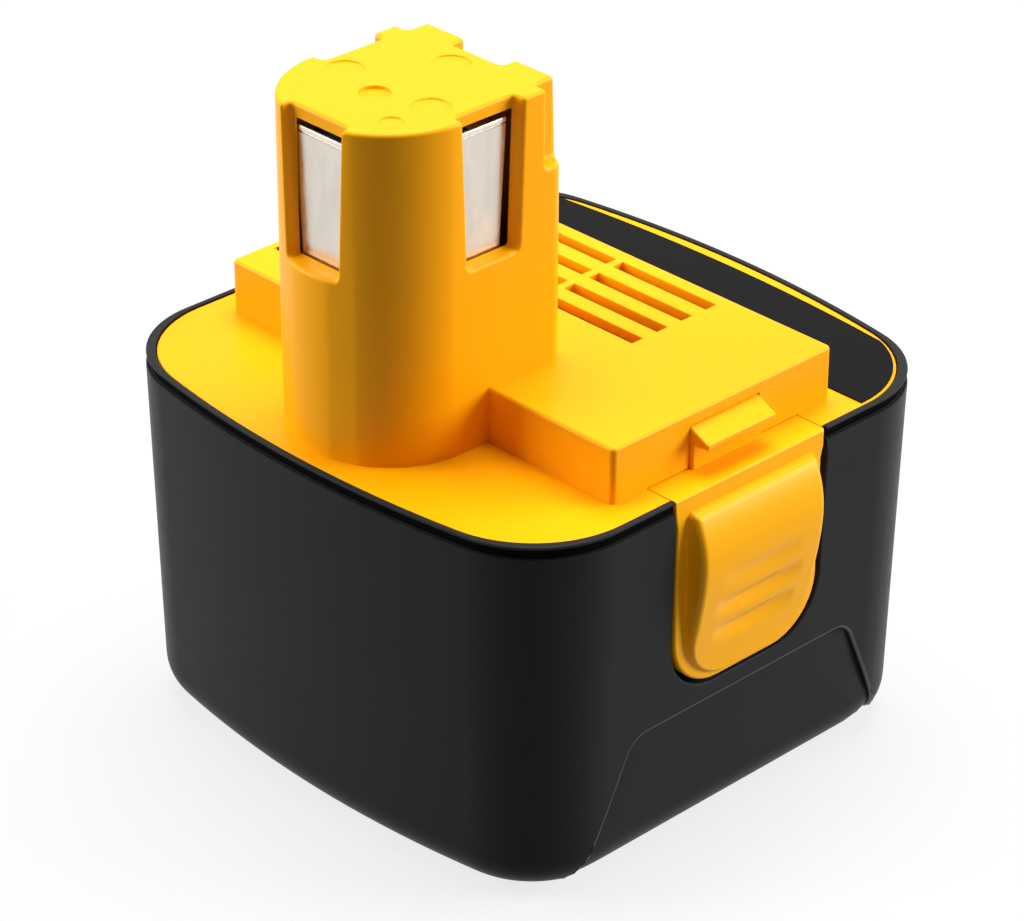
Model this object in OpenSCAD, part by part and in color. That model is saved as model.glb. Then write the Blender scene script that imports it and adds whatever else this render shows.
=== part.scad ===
// Battery pack for a cordless tool: drafted case, top cover with a vented block and a contact tower,
// two sprung side latches, ten round cells and their strips. Millimetres, +Z up, +X to the right latch,
// -Y to the front, origin on the bottom face in the middle of the case.

/* [Case] */
// Outer width of the case across the latches, at the rim
case_w = 89; // [87:0.5:110]
// Outer depth of the case at the middle of its front and rear faces, at the rim
case_d = 89; // [87:0.5:110]
// Height of the deck above the bottom face
case_h = 57; // [54:0.5:75]
// Radius of the four upright corners, at the rim
corner_r = 16; // [12:0.5:20]
// Radius of the bowed front and rear faces
bulge_r = 185; // [140:5:400]
// Draft of the outer walls in degrees
draft = 1.2; // [0.5:0.1:2]
// Radius of the rounded bottom edge
base_round = 6.4; // [4:0.2:8]
// Thickness of the case walls
wall = 2.6; // [2:0.1:3]
// Thickness of the case floor
floor_t = 2.5; // [2:0.1:4]
// Radius inside the bottom edge
inner_round = 4; // [3:0.5:4.5]
// Thickness of the ribs that hold the cells
rib_t = 1.6; // [1.2:0.1:2]
// Height of those ribs above the bottom face
rib_h = 36; // [20:1:40]

/* [Rim] */
// Width of the bead between the deck and the outer wall
bead_w = 1.3; // [1.1:0.1:1.6]
// Height of the bead above the shadow groove
bead_h = 0.5; // [0.4:0.1:1]
// Edge rounding of the bead
bead_round = 0.2; // [0.1:0.05:0.3]
// Height of the shadow groove under the bead
groove_h = 1; // [0.6:0.1:1.2]
// Depth of the shadow groove
groove_depth = 0.6; // [0.3:0.1:0.7]
// Gap all round between the deck and the bead
deck_gap = 0.15; // [0.1:0.05:0.3]

/* [Side panel] */
// Height of the recessed panel's upper edge above the bottom face
panel_h = 21.8; // [18:0.2:23]
// Half width of the panel along its upper edge
panel_top = 21.2; // [15:0.2:24]
// Half width of the panel where it meets the bottom face
panel_foot = 31.3; // [26:0.2:34]
// Depth of the panel
panel_depth = 0.7; // [0.4:0.1:1]
// Radius of the panel's two upper corners
panel_round = 3.2; // [1:0.2:5]

/* [Top cover] */
// Thickness of the deck
deck_t = 2; // [1.6:0.1:2.4]
// Thickness of the skirt under the deck
skirt_t = 1.4; // [1:0.1:2]
// Depth of the skirt under the deck
skirt_h = 3.5; // [2:0.5:5]
// Distance from the side of the case to the block
block_inset = 5.5; // [5:0.1:7]
// Depth of the block, front to rear
block_d = 43.2; // [40:0.2:46]
// Height of the block above the deck
block_h = 8.5; // [8:0.1:12]
// Thickness of the block's walls
block_wall = 2; // [1.6:0.1:2.4]
// Thickness of the block's top
block_top = 1.5; // [1.2:0.1:1.8]
// Radius of the block's upright edges
block_round = 0.8; // [0.4:0.1:2]
// Slots in each of the two vent columns
vent_rows = 4; // [2:1:4]
// Distance between neighbouring slots
vent_pitch = 4.95; // [4:0.05:5.4]
// Width of one slot
vent_slot = 2.1; // [1.5:0.1:2.6]
// Length of one slot
vent_len = 18.5; // [12:0.5:20]
// Width of the rib between the two columns
vent_rib = 1.4; // [1:0.1:3]
// Distance from the rear edge of the block to the middle of the last slot
vent_edge = 3.7; // [3:0.1:6]

/* [Tower] */
// Height of the tower above the deck
tower_h = 49.6; // [48:0.2:56]
// Outer radius of the tower's round front
tower_r = 14.9; // [14.5:0.1:17]
// Distance from the tower's axis to its rear face
tower_rear = 19; // [18:0.2:21]
// Distance from the tower's axis to the front of the case
tower_front = 18.5; // [17.5:0.1:21]
// Thickness of the tower's wall
tower_wall = 2; // [1.8:0.1:2.2]
// Thickness of the tower's cap
cap_t = 2.4; // [1.8:0.1:3]
// Radius of the tower's rear corners
tower_round = 2.6; // [1:0.1:3]
// Half width of the tower's keyed upper rear end
key_half = 12.5; // [11.5:0.1:13]
// Distance from the tower's axis to the start of the keyed end
key_start = 15.2; // [14.5:0.1:16.5]
// Height of the keyed end
key_h = 11.8; // [8:0.2:16]
// Half width of the groove in the tower's rear face
slot_half = 4.95; // [3:0.05:6]
// Depth of the groove in the tower's rear face
slot_depth = 2.6; // [1.5:0.1:3]
// Distance from the tower's axis to the flat of a side window
side_flat = 12.8; // [12.3:0.1:12.8]
// Start of a side window behind the tower's axis
side_win_y0 = 0.9; // [0:0.1:2]
// Width of a side window at its sill
side_win_w = 9.3; // [7:0.1:10]
// Distance from the tower's axis to the flat of the front window
front_flat = 12; // [11.6:0.1:12]
// Distance from the tower's axis to the flat inside its front wall
front_bore = 12.1; // [12.1:0.1:12.4]
// Width of the front window at its sill
front_win_w = 10; // [7:0.1:10]
// Height of the windows, from the cap's top to the sill
win_h = 22.2; // [18:0.2:30]
// Widening of a window to each side, from its sill to the cap's top
win_flare = 0.8; // [0.4:0.1:1]
// Diameter of the three round marks on the cap
mark_d = 5.8; // [4:0.1:7]
// Diameter of the deeper mark in the middle of the cap
gate_d = 4.4; // [3:0.1:5]
// Diameter of the small mark near the cap's front
pin_d = 3.6; // [2:0.1:4]
// Depth of the round marks
mark_depth = 0.3; // [0.2:0.05:0.6]

/* [Latches] */
// Width of a latch
latch_w = 29.4; // [26:0.2:34]
// Travel of a latch when its pad is pressed
latch_travel = 3.5; // [2.5:0.1:3.6]
// Gap between a latch and the opening that it slides in
latch_gap = 0.3; // [0.2:0.05:0.6]
// Dark gap around the lower end of the latch plate
plate_gap = 0.7; // [0.6:0.1:1.2]
// Set-back of the latch plate from the rim's outer wall
plate_setback = 0.2; // [0:0.1:0.6]
// Thickness of the latch plate
plate_t = 3.3; // [3:0.1:3.6]
// Height of the latch plate's lower edge above the bottom face
plate_foot = 25.8; // [24.8:0.2:30]
// Radius of the latch plate's lower corners
plate_round = 8; // [5:0.2:12]
// Thickness of the ledge at deck level
ledge_t = 2.2; // [1.8:0.1:2.4]
// Height of the crown of the thumb pad above the latch plate
pad_crown = 3.2; // [2:0.1:4]
// Height of the step along the thumb pad's upper edge
pad_step = 1.1; // [0.6:0.1:1.6]
// Height of the lip along the thumb pad's lower edge
pad_lip = 0.5; // [0.2:0.1:1]
// Width of the thumb pad
pad_w = 24.4; // [20:0.2:26]
// Distance from the deck to the thumb pad's upper edge
pad_drop = 2.6; // [2:0.1:4]
// Distance from the deck to the crown of the thumb pad
pad_crown_drop = 10.5; // [8:0.5:14]
// Margin of the plate below the thumb pad
pad_margin = 1.4; // [1:0.1:3]
// Grip grooves across the thumb pad
grip_count = 2; // [1:1:3]
// Distance between the grip grooves
grip_pitch = 3.6; // [3:0.1:5]
// Radius of a grip groove
grip_r = 2.4; // [1.5:0.1:4]
// Depth of a grip groove
grip_depth = 0.35; // [0.2:0.05:0.6]
// Length of a grip groove
grip_len = 15; // [10:0.5:18]
// Width of a hook
hook_w = 13.6; // [10:0.2:18]
// Reach of the hook's nose beyond the block
hook_reach = 3.4; // [2.5:0.1:3.4]
// Height of the hook's underside above the deck
hook_under = 3.8; // [3:0.1:4.2]
// Thickness of the hook's nose
nose_t = 0.9; // [0.6:0.1:1.2]
// Thickness of the hook's post
post_t = 3.1; // [2.5:0.1:3.5]
// Reach of the hook's post beyond the block
post_reach = 0.7; // [0.4:0.1:1]
// Gap above the hook inside the block
hook_clear = 0.4; // [0.3:0.05:0.8]
// Thickness of the flange that stops the latch behind the wall
flange_t = 1.2; // [0.8:0.1:1.4]
// Reach of that flange past each side of the latch
flange_reach = 1.7; // [1.2:0.1:3]
// Height of that flange
flange_h = 20; // [12:0.5:22]

/* [Latch springs] */
// Outer diameter of a spring
spring_d = 6; // [5:0.1:7]
// Wire diameter
wire_d = 0.6; // [0.4:0.05:0.7]
// Turns of a spring
spring_turns = 4; // [3:1:5]
// Length of a spring at rest
spring_len = 6.9; // [6.7:0.1:7.2]
// Depth of the spring's pocket in the latch
pocket_depth = 2.8; // [2.7:0.1:2.9]
// Height of the springs above the bottom face
spring_z = 41; // [36:0.5:44]
// Thickness of the wall that the springs push against
spring_wall = 1.9; // [1.2:0.1:1.9]
// Half width of that wall
spring_wall_half = 12; // [8:0.5:14]

/* [Cells and strips] */
// Room beside the cells at each side of the case, where the latches work
side_room = 11; // [10.5:0.1:14]
// Room in front of the cells and behind them
end_room = 11; // [10.5:0.1:14]
// Gap between neighbouring cells
cell_gap = 0.2; // [0.1:0.05:0.3]
// Height of a cell
cell_h = 42.6; // [40:0.2:43]
// Diameter of the button on a cell's end
button_d = 9; // [7:0.5:11]
// Height of the button
button_h = 0.6; // [0.4:0.1:1]
// Thickness of the insulating cards
card_t = 0.5; // [0.3:0.1:0.8]
// Thickness of the welded strips
strip_t = 0.2; // [0.15:0.05:0.3]
// Width of the welded strips
strip_w = 7; // [5:0.5:9]
// Gap between the cells and what holds them
cell_fit = 0.3; // [0.2:0.05:0.5]
// Distance from the tower's axis back to the axis of its cell
tower_cell_back = 1.5; // [1.2:0.1:2]
// Thickness of the pad above the tower's cell
pad_t = 0.8; // [0.5:0.1:1.5]
// Wall of the carrier under the tower's cell
holder_wall = 2; // [1.5:0.1:3]
// Thickness of the contact plates
contact_t = 0.4; // [0.3:0.05:0.5]
// Depth of the contact plates below the sills
contact_dip = 8; // [4:0.5:10]
// Room beside a side contact plate in its window
side_margin = 1.1; // [0.5:0.1:2]
// Gap between the contact plates and the flats of the windows
contact_gap = 0.25; // [0.2:0.05:0.3]
// Width of the tail below a contact plate
tail_w = 4; // [3:0.2:6]
// Diameter of the thermistor
thermistor_d = 3; // [2:0.1:4]
// Length of the thermistor
thermistor_len = 8; // [5:0.5:12]
// Diameter of the thermistor's lead
lead_d = 1.2; // [0.8:0.1:1.6]
// Length of the thermal cut-out
cutout_len = 12; // [8:0.5:14]
// Width of the thermal cut-out
cutout_w = 7; // [5:0.5:9]
// Height of the thermal cut-out
cutout_h = 3.5; // [2:0.1:4]
// Length of the cut-out's two tabs
cutout_tab_len = 6; // [3:0.5:8]
// Width of the cut-out's two tabs
cutout_tab_w = 4; // [2:0.5:5]

/* [Labels] */
// Thickness of the labels
label_t = 0.2; // [0.1:0.05:0.3]
// Gap between the rear label and the bead
label_margin = 0.45; // [0.2:0.05:1]
// Distance from the block to the rear label
label_gap = 2.3; // [1:0.1:4]
// Distance from the rear of the case to the label's straight rear edge
label_rear = 2.9; // [2:0.1:6]
// Width of the label on the block
tag_w = 15.5; // [10:0.5:18]
// Length of the label on the block
tag_len = 29.6; // [20:0.2:36]
// Distance from the block's side to that label
tag_edge = 1.7; // [1:0.1:4]
// Gap around that label in its recess
tag_gap = 0.1; // [0.05:0.05:0.3]

/* [Screws] */
// Distance from the side of the case to the screws
screw_side = 10.9; // [10.5:0.1:11.2]
// Distance from the front or rear of the case to the screws
screw_end = 11.7; // [11.4:0.1:12]
// Shank diameter of the screws
screw_d = 3; // [2.5:0.1:3]
// Head diameter of the screws
head_d = 5.4; // [4.8:0.1:5.5]
// Head height of the screws
head_h = 2.2; // [1.5:0.1:2.4]
// Length of the shank
screw_len = 15; // [10:0.5:25]
// Depth of the well that a head sits in
well_depth = 5; // [4:0.2:6]
// Gap around the head and the shank
screw_gap = 0.2; // [0.1:0.05:0.25]
// Wall around a screw well
well_wall = 1; // [0.8:0.1:1]
// Height of the seat above a screw well
seat_t = 3; // [2:0.2:4]
// Diameter of the pillars under the deck
pillar_d = 6; // [5:0.1:6.2]

/* [Hidden] */
$fn = 64;

yellow = [1.0, 0.78, 0.06];
black = [0.13, 0.14, 0.14];
nickel = [0.80, 0.78, 0.75];
steel = [0.62, 0.63, 0.65];
sleeve = [0.16, 0.33, 0.55];
card = [0.86, 0.84, 0.76];

// Small overlap that keeps cuts and joints clean
eps = 0.01;
// Length that reaches past the whole pack
far = 200;
// Steps on one corner, one bowed face and one rounded edge
corner_steps = 7;
bulge_steps = 6;
round_steps = 5;

// Outline of the case: round corners that run tangent into straight sides and bowed ends
half_w = case_w / 2;
half_d = case_d / 2;
corner_x = half_w - corner_r;
corner_y = half_d - bulge_r + sqrt(pow(bulge_r - corner_r, 2) - pow(corner_x, 2));
bulge_angle = asin(corner_x / (bulge_r - corner_r));
corner_sweep = 90 - bulge_angle;

function polar(c, r, t) = [c[0] + r * cos(t), c[1] + r * sin(t)];
function corner_arc(sx, sy, start, inset) = [
    for (k = [0 : corner_steps])
        polar([sx * corner_x, sy * corner_y], corner_r - inset, start + corner_sweep * k / corner_steps)
];
function bulge_arc(sy, start, inset) = [
    for (k = [1 : bulge_steps - 1])
        polar([0, sy * (half_d - bulge_r)], bulge_r - inset, start + 2 * bulge_angle * k / bulge_steps)
];
function outline(inset) = concat(
    corner_arc(1, 1, 0, inset),
    bulge_arc(1, corner_sweep, inset),
    corner_arc(-1, 1, 90 + bulge_angle, inset),
    corner_arc(-1, -1, 180, inset),
    bulge_arc(-1, 180 + corner_sweep, inset),
    corner_arc(1, -1, 270 + bulge_angle, inset)
);
// Distance from the middle plane to the side wall at a place along the wall
function side_x(y, inset) = abs(y) <= corner_y
    ? half_w - inset
    : corner_x + sqrt(pow(corner_r - inset, 2) - pow(abs(y) - corner_y, 2));
// Distance from the middle plane to the front or rear wall
function end_y(x, inset) = half_d - bulge_r + sqrt(pow(bulge_r - inset, 2) - pow(x, 2));
// Set-back of the drafted wall, and of the rounded bottom edge, at a height
function drafted(z) = (case_h - z) * tan(draft);
function rounded(z, r) = z >= r ? 0 : r - sqrt(pow(r, 2) - pow(r - z, 2));

// Heights
wall_top = case_h - bead_h - groove_h;
ledge_z = case_h - deck_t;
cells_z = floor_t + card_t + strip_t;
cells_top = cells_z + cell_h;
card_z = cells_top + strip_t;
inside_z = card_z + card_t;
block_z = case_h + block_h;
block_roof = block_z - block_top;
tower_z = case_h + tower_h;
cap_z = tower_z - cap_t;
sill_z = tower_z - win_h;
tab_z = cap_z - pad_t - contact_t;
tower_cell_z = tab_z - cell_h;

// Places across the latch, all measured from the case wall or from the block
plate_x = half_w - plate_setback;
plate_back = plate_x - plate_t;
flange_x = plate_back - flange_t;
pocket_x = flange_x + pocket_depth;
spring_x = pocket_x - spring_len;
spring_wall_x = spring_x - spring_wall;
block_x = half_w - block_inset;
block_in_x = block_x - block_wall;
latch_half = latch_w / 2;
opening_half = latch_half + latch_gap;
ledge_top = case_h;
bridge_z = case_h + latch_gap / 2;
hook_x = block_x + hook_reach;
post_x = block_x + post_reach;
hook_top = block_roof - hook_clear;
flange_mid = (plate_foot + ledge_z) / 2;

// Places in the tower and the cell pack: three cells fill the room that the walls leave, each way
tower_y = -half_d + tower_front;
bore_r = tower_r - tower_wall;
cells_across = 3;
cells_room = min(case_w - 2 * side_room, case_d - 2 * end_room);
cell_d = (cells_room - (cells_across - 1) * cell_gap) / cells_across;
cell_r = cell_d / 2;
screw_x = half_w - screw_side;
screw_y = half_d - screw_end;
cell_pitch = cell_d + cell_gap;
tower_cell_y = tower_y + tower_cell_back;
side_contact_x = side_flat - contact_gap;
front_contact_y = tower_y - front_flat + contact_gap;
side_win_mid = tower_y + side_win_y0 + side_win_w / 2;

// Cells in series order, one step to a neighbour each time
cell_places = [
    [-1, -1], [-1, 0], [-1, 1], [0, 1], [1, 1], [1, 0], [0, 0], [0, -1], [1, -1]
];
function cell_xy(i) = cell_places[i] * cell_pitch;

// Solid through rings of points, each ring in the same turning sense
module loft(rings) {
    n = len(rings[0]);
    m = len(rings);
    sides = [
        for (k = [0 : m - 2])
            for (i = [0 : n - 1])
                let (j = (i + 1) % n)
                    each [
                        [k * n + i, (k + 1) * n + i, (k + 1) * n + j],
                        [k * n + i, (k + 1) * n + j, k * n + j]
                    ]
    ];
    first = [for (i = [0 : n - 1]) [i, (i + 1) % n, m * n]];
    last = [for (i = [0 : n - 1]) [(m - 1) * n + (i + 1) % n, (m - 1) * n + i, m * n + 1]];
    polyhedron(
        points = concat([for (ring = rings) each ring], [middle(rings[0]), middle(rings[m - 1])]),
        faces = concat(first, sides, last)
    );
}
function middle(ring) = [for (i = [0 : len(ring) - 1]) 1] * ring / len(ring);
function ring(inset, z) = [for (p = outline(inset)) [p[0], p[1], z]];

// Prism on the case's outline
module outline_prism(inset, z0, z1) {
    translate([0, 0, z0])
        linear_extrude(height = z1 - z0)
            polygon(outline(inset));
}

// Box from its lowest to its highest corner
module box(low, high) {
    translate(low)
        cube(high - low);
}

// Prism of an outline in the YZ plane, between two X planes
module side_prism(x0, x1) {
    translate([x0, 0, 0])
        rotate([90, 0, 90])
            linear_extrude(height = x1 - x0)
                children();
}

// Prism of an outline in the XZ plane, centred on Y
module cross_prism(width) {
    translate([0, width / 2, 0])
        rotate([90, 0, 0])
            linear_extrude(height = width)
                children();
}

// U shape with a flat top and round lower corners
module u_shape(half, foot, top, r) {
    translate([-half, foot + r])
        square([2 * half, top - foot - r]);
    translate([-half + r, foot])
        square([2 * (half - r), r + eps]);
    for (s = [-1, 1])
        translate([s * (half - r), foot + r])
            circle(r);
}

module both_sides() {
    children();
    mirror([1, 0, 0])
        children();
}

module at_screws() {
    for (sx = [-1, 1])
        for (sy = [-1, 1])
            translate([sx * screw_x, sy * screw_y, 0])
                children();
}

// Case shell: one loft up the outside, over the bead and down the inside
module case_shell() {
    outer = [
        for (k = [0 : round_steps])
            let (t = 90 * k / round_steps, z = base_round * (1 - cos(t)))
                ring(drafted(base_round) + rounded(z, base_round), z)
    ];
    rim = [
        ring(drafted(wall_top), wall_top - bead_round),
        ring(bead_round, wall_top),
        ring(groove_depth, wall_top),
        ring(groove_depth, wall_top + groove_h),
        ring(bead_round / 2, wall_top + groove_h),
        ring(bead_round / 2, case_h - bead_round),
        ring(bead_round * 3 / 2, case_h),
        ring(bead_w, case_h),
        ring(bead_w, ledge_z),
        ring(wall, ledge_z)
    ];
    inner = [
        for (k = [round_steps : -1 : 0])
            let (t = 90 * k / round_steps, z = inner_round * (1 - cos(t)))
                ring(wall + drafted(floor_t) + rounded(z, inner_round), floor_t + z)
    ];
    loft(concat(outer, rim, inner));
}

// Cutter for the side panel: follows the wall at panel depth, drawn in at its two upper corners
module panel_cut() {
    slope = (panel_foot - panel_top) / panel_h;
    levels = concat(
        [-1],
        [for (k = [0 : round_steps]) base_round * (1 - cos(90 * k / round_steps))],
        [for (k = [0 : round_steps]) panel_h - panel_round * (1 - sin(90 * k / round_steps))]
    );
    function lift(z) = max(0, z - panel_h + panel_round);
    function half(z) = panel_foot - slope * z
        - (panel_round - sqrt(max(0, pow(panel_round, 2) - pow(lift(z), 2))));
    function floor_x(y, z) = side_x(y, panel_depth + drafted(z) + rounded(max(z, 0), base_round));
    loft([
        for (z = levels)
            concat(
                [[far / 2, -half(z), z], [far / 2, half(z), z]],
                [for (k = [4 : -1 : -4]) let (y = half(z) * k / 4) [floor_x(y, z), y, z]]
            )
    ]);
}

// Ribs that hold the cells off the front and rear walls
module cell_ribs() {
    start = cell_pitch + cell_r + cell_fit;
    bite = 0.3;
    for (i = [-1 : 1])
        for (s = [0, 1])
            mirror([0, s, 0])
                let (end = end_y(i * cell_pitch, wall / 2 + drafted(0)))
                    side_prism(i * cell_pitch - rib_t / 2, i * cell_pitch + rib_t / 2)
                        polygon([
                            [start, floor_t - bite],
                            [end - inner_round * 3 / 4, floor_t - bite],
                            [end, base_round - 1],
                            [end, rib_h],
                            [start, rib_h]
                        ]);
}

// Wall that a latch spring pushes against, with a peg that centres the spring
module spring_seat() {
    peg_len = 1.4;
    peg_d = spring_d - 2 * wire_d - 2 * cell_fit;
    box(
        [spring_wall_x, -spring_wall_half, floor_t - cell_fit],
        [spring_x, spring_wall_half, ledge_top - ledge_t - latch_gap]
    );
    translate([spring_x - eps, 0, spring_z])
        rotate([0, 90, 0])
            cylinder(d = peg_d, h = peg_len);
    for (s = [0, 1])
        mirror([0, s, 0])
            box(
                [spring_x - eps, spring_wall_half - rib_t, base_round],
                [half_w - wall / 2 - drafted(0), spring_wall_half, plate_foot - 2 * plate_gap - flange_t]
            );
}

module screw_well() {
    translate([0, 0, floor_t - 0.5])
        cylinder(d = head_d + 2 * screw_gap + 2 * well_wall, h = well_depth + seat_t - floor_t + 0.5);
}

module lower_case() {
    color(black)
        difference() {
            union() {
                difference() {
                    case_shell();
                    both_sides()
                        side_prism(flange_x - flange_t, far / 2)
                            u_shape(
                                latch_half + plate_gap / 2,
                                plate_foot - plate_gap,
                                far,
                                plate_round + plate_gap / 2
                            );
                    both_sides()
                        panel_cut();
                }
                cell_ribs();
                both_sides()
                    spring_seat();
                at_screws()
                    screw_well();
            }
            at_screws() {
                translate([0, 0, -1])
                    cylinder(d = head_d + 2 * screw_gap, h = well_depth + 1);
                cylinder(d = screw_d + 2 * screw_gap, h = far / 2);
            }
        }
}

// Cover pieces
module block_solid() {
    for (s = [-1, 1]) {
        box([-block_x, -block_d / 2 + block_round, ledge_z], [block_x, block_d / 2 - block_round, block_z]);
        box([-block_x + block_round, -block_d / 2, ledge_z], [block_x - block_round, block_d / 2, block_z]);
        for (t = [-1, 1])
            translate([s * (block_x - block_round), t * (block_d / 2 - block_round), ledge_z])
                cylinder(r = block_round, h = block_z - ledge_z);
    }
}

module tower_outline() {
    circle(tower_r);
    translate([-tower_r, 0])
        square([2 * tower_r, tower_rear - tower_round]);
    translate([-tower_r + tower_round, 0])
        square([2 * (tower_r - tower_round), tower_rear]);
    for (s = [-1, 1])
        translate([s * (tower_r - tower_round), tower_rear - tower_round])
            circle(tower_round);
}

// Hollow of the tower: round with a flat in front, narrower behind the keyed corners, drawn in behind the groove
module tower_hollow() {
    waist = key_half - tower_wall + 0.2;
    difference() {
        union() {
            circle(bore_r);
            translate([-bore_r, 0])
                square([2 * bore_r, key_start - tower_wall]);
            translate([-waist, 0])
                square([2 * waist, tower_rear - tower_wall]);
        }
        translate([-slot_half - tower_wall, tower_rear - slot_depth - tower_wall])
            square([2 * (slot_half + tower_wall), far]);
        translate([-far / 2, -far - front_bore])
            square(far);
    }
}

// Window in the tower's wall, open at the cap and wider there than at its flat sill
module window_cut(flat, width) {
    top = tower_z + 1;
    flare = win_flare * (top - sill_z) / win_h;
    rotate([90, 0, 90])
        translate([0, 0, flat])
            linear_extrude(height = far)
                polygon([
                    [-width / 2, sill_z],
                    [width / 2, sill_z],
                    [width / 2 + flare, top],
                    [-width / 2 - flare, top]
                ]);
}

module tower_windows() {
    for (s = [0, 1])
        mirror([s, 0, 0])
            translate([0, side_win_mid, 0])
                window_cut(side_flat, side_win_w);
    translate([0, tower_y, 0])
        rotate([0, 0, -90])
            window_cut(front_flat, front_win_w);
}

module cap_marks() {
    spread = tower_r * 0.57;
    back = tower_rear * 0.61;
    for (p = [[-spread, 0], [spread, 0], [0, back]])
        translate([p[0], tower_y + p[1], tower_z - mark_depth])
            cylinder(d = mark_d, h = 1);
    translate([spread, tower_y - spread * 0.82, tower_z - mark_depth])
        cylinder(d = pin_d, h = 1);
    translate([0, tower_y - gate_d / 2, tower_z - 3 * mark_depth])
        cylinder(d = gate_d, h = 1 + 2 * mark_depth);
}

module vents() {
    for (row = [0 : vent_rows - 1])
        for (s = [-1, 1])
            translate([
                s * (vent_rib + vent_len) / 2,
                block_d / 2 - vent_edge - row * vent_pitch,
                block_z
            ])
                cube([vent_len, vent_slot, 2 * block_h], center = true);
}

module top_cover() {
    color(yellow)
        difference() {
            union() {
                outline_prism(bead_w + deck_gap, ledge_z, case_h);
                difference() {
                    outline_prism(wall + deck_gap + drafted(ledge_z - skirt_h), ledge_z - skirt_h, ledge_z + eps);
                    outline_prism(wall + deck_gap + skirt_t, 0, ledge_z + 2 * eps);
                }
                block_solid();
                translate([0, tower_y, ledge_z])
                    linear_extrude(height = tower_z - ledge_z)
                        tower_outline();
                at_screws()
                    translate([0, 0, well_depth + seat_t])
                        cylinder(d = pillar_d, h = ledge_z - well_depth - seat_t + eps);
            }
            box(
                [-block_in_x, -block_d / 2 + block_wall, 0],
                [block_in_x, block_d / 2 - block_wall, block_roof]
            );
            translate([0, tower_y, 0])
                linear_extrude(height = cap_z)
                    tower_hollow();
            tower_windows();
            translate([-slot_half, tower_y + tower_rear - slot_depth, block_z])
                cube([2 * slot_half, far, far]);
            for (s = [0, 1])
                mirror([s, 0, 0])
                    translate([key_half, tower_y + key_start, tower_z - key_h])
                        cube(far);
            cap_marks();
            vents();
            translate([-block_x + tag_edge - tag_gap, -tag_len / 2 - tag_gap, block_z - label_t])
                cube([tag_w + 2 * tag_gap, tag_len + 2 * tag_gap, block_h]);
            both_sides() {
                box([block_in_x - 1, -opening_half, 0], [far, opening_half, bridge_z]);
                box([spring_wall_x, -latch_half - 2 * flange_reach, 0], [far, latch_half + 2 * flange_reach, ledge_z]);
                box([block_in_x - 1, -hook_w / 2 - latch_gap, case_h], [far, hook_w / 2 + latch_gap, block_roof]);
            }
            at_screws()
                cylinder(d = screw_d + screw_gap / 2, h = well_depth + screw_len + 2);
        }
}

// Thumb pad: two arcs that meet upright at the crown
module pad_solid() {
    crown_x = plate_x + pad_crown;
    crown_z = case_h - pad_crown_drop;
    top_z = case_h - pad_drop;
    foot_z = plate_foot + pad_margin;
    rise = top_z - crown_z;
    fall = crown_z - foot_z;
    upper_r = (pow(rise, 2) + pow(pad_crown - pad_step, 2)) / (2 * (pad_crown - pad_step));
    lower_r = (pow(fall, 2) + pow(pad_crown - pad_lip, 2)) / (2 * (pad_crown - pad_lip));
    groove_z = foot_z + fall * 0.4;
    module arc_half(r, z0, z1) {
        intersection() {
            translate([crown_x - r, 0, crown_z])
                rotate([90, 0, 0])
                    cylinder(r = r, h = far, center = true, $fn = 128);
            box([plate_x - plate_t / 2, -pad_w / 2, z0], [far / 2, pad_w / 2, z1]);
        }
    }
    function face_x(z) = crown_x - lower_r + sqrt(pow(lower_r, 2) - pow(crown_z - z, 2));
    difference() {
        intersection() {
            union() {
                arc_half(upper_r, crown_z, top_z);
                arc_half(lower_r, foot_z, crown_z);
            }
            side_prism(plate_x - plate_t / 2, far / 2)
                u_shape(pad_w / 2, foot_z, far, plate_round - pad_margin);
        }
        for (k = [0 : grip_count - 1])
            translate([face_x(groove_z + k * grip_pitch) + grip_r - grip_depth, 0, groove_z + k * grip_pitch])
                rotate([90, 0, 0])
                    cylinder(r = grip_r, h = grip_len, center = true);
    }
}

module hook_solid() {
    under_z = case_h + hook_under;
    cross_prism(hook_w)
        polygon([
            [post_x - post_t, case_h - ledge_t / 2],
            [post_x, case_h - ledge_t / 2],
            [post_x, under_z],
            [hook_x, under_z],
            [hook_x, under_z + nose_t],
            [block_x - hook_clear, hook_top],
            [post_x - post_t, hook_top]
        ]);
}

module latch_solid() {
    difference() {
        union() {
            side_prism(plate_back, plate_x)
                u_shape(latch_half, plate_foot, ledge_top, plate_round);
            box([spring_wall_x, -latch_half, ledge_top - ledge_t], [plate_x, latch_half, ledge_top]);
            box(
                [flange_x, -latch_half - flange_reach, flange_mid - flange_h / 2],
                [plate_back + eps, latch_half + flange_reach, flange_mid + flange_h / 2]
            );
            pad_solid();
            hook_solid();
        }
        translate([flange_x - eps, 0, spring_z])
            rotate([0, 90, 0])
                cylinder(d = spring_d + 2 * cell_fit, h = pocket_depth + eps);
    }
}

module latch_right() {
    color(yellow)
        latch_solid();
}

module latch_left() {
    color(yellow)
        mirror([1, 0, 0])
            latch_solid();
}

// Coil spring along X: one tube swept round a helix with closed, flattened ends
coil_rings = 8;
coil_sides = 6;
coil_r = (spring_d - wire_d) / 2;
coil_margin = 0.02;
coil_run = spring_len - wire_d - 2 * coil_margin;
function coil_x(u) = spring_x + coil_margin + wire_d / 2 + coil_run * u;
function coil_ring(u) =
    let (t = 360 * spring_turns * u)
        [
            for (k = [0 : coil_sides - 1])
                let (
                    s = 360 * k / coil_sides,
                    r = coil_r + wire_d / 2 * cos(s)
                )
                    [coil_x(u) + wire_d / 2 * sin(s), r * cos(t), spring_z + r * sin(t)]
        ];
coil_pitch = coil_run / spring_turns;
coil_least_gap = coil_pitch - wire_d;
echo(str("latch spring: pitch ", coil_pitch, " mm, least gap between turns ", coil_least_gap, " mm"));

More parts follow.
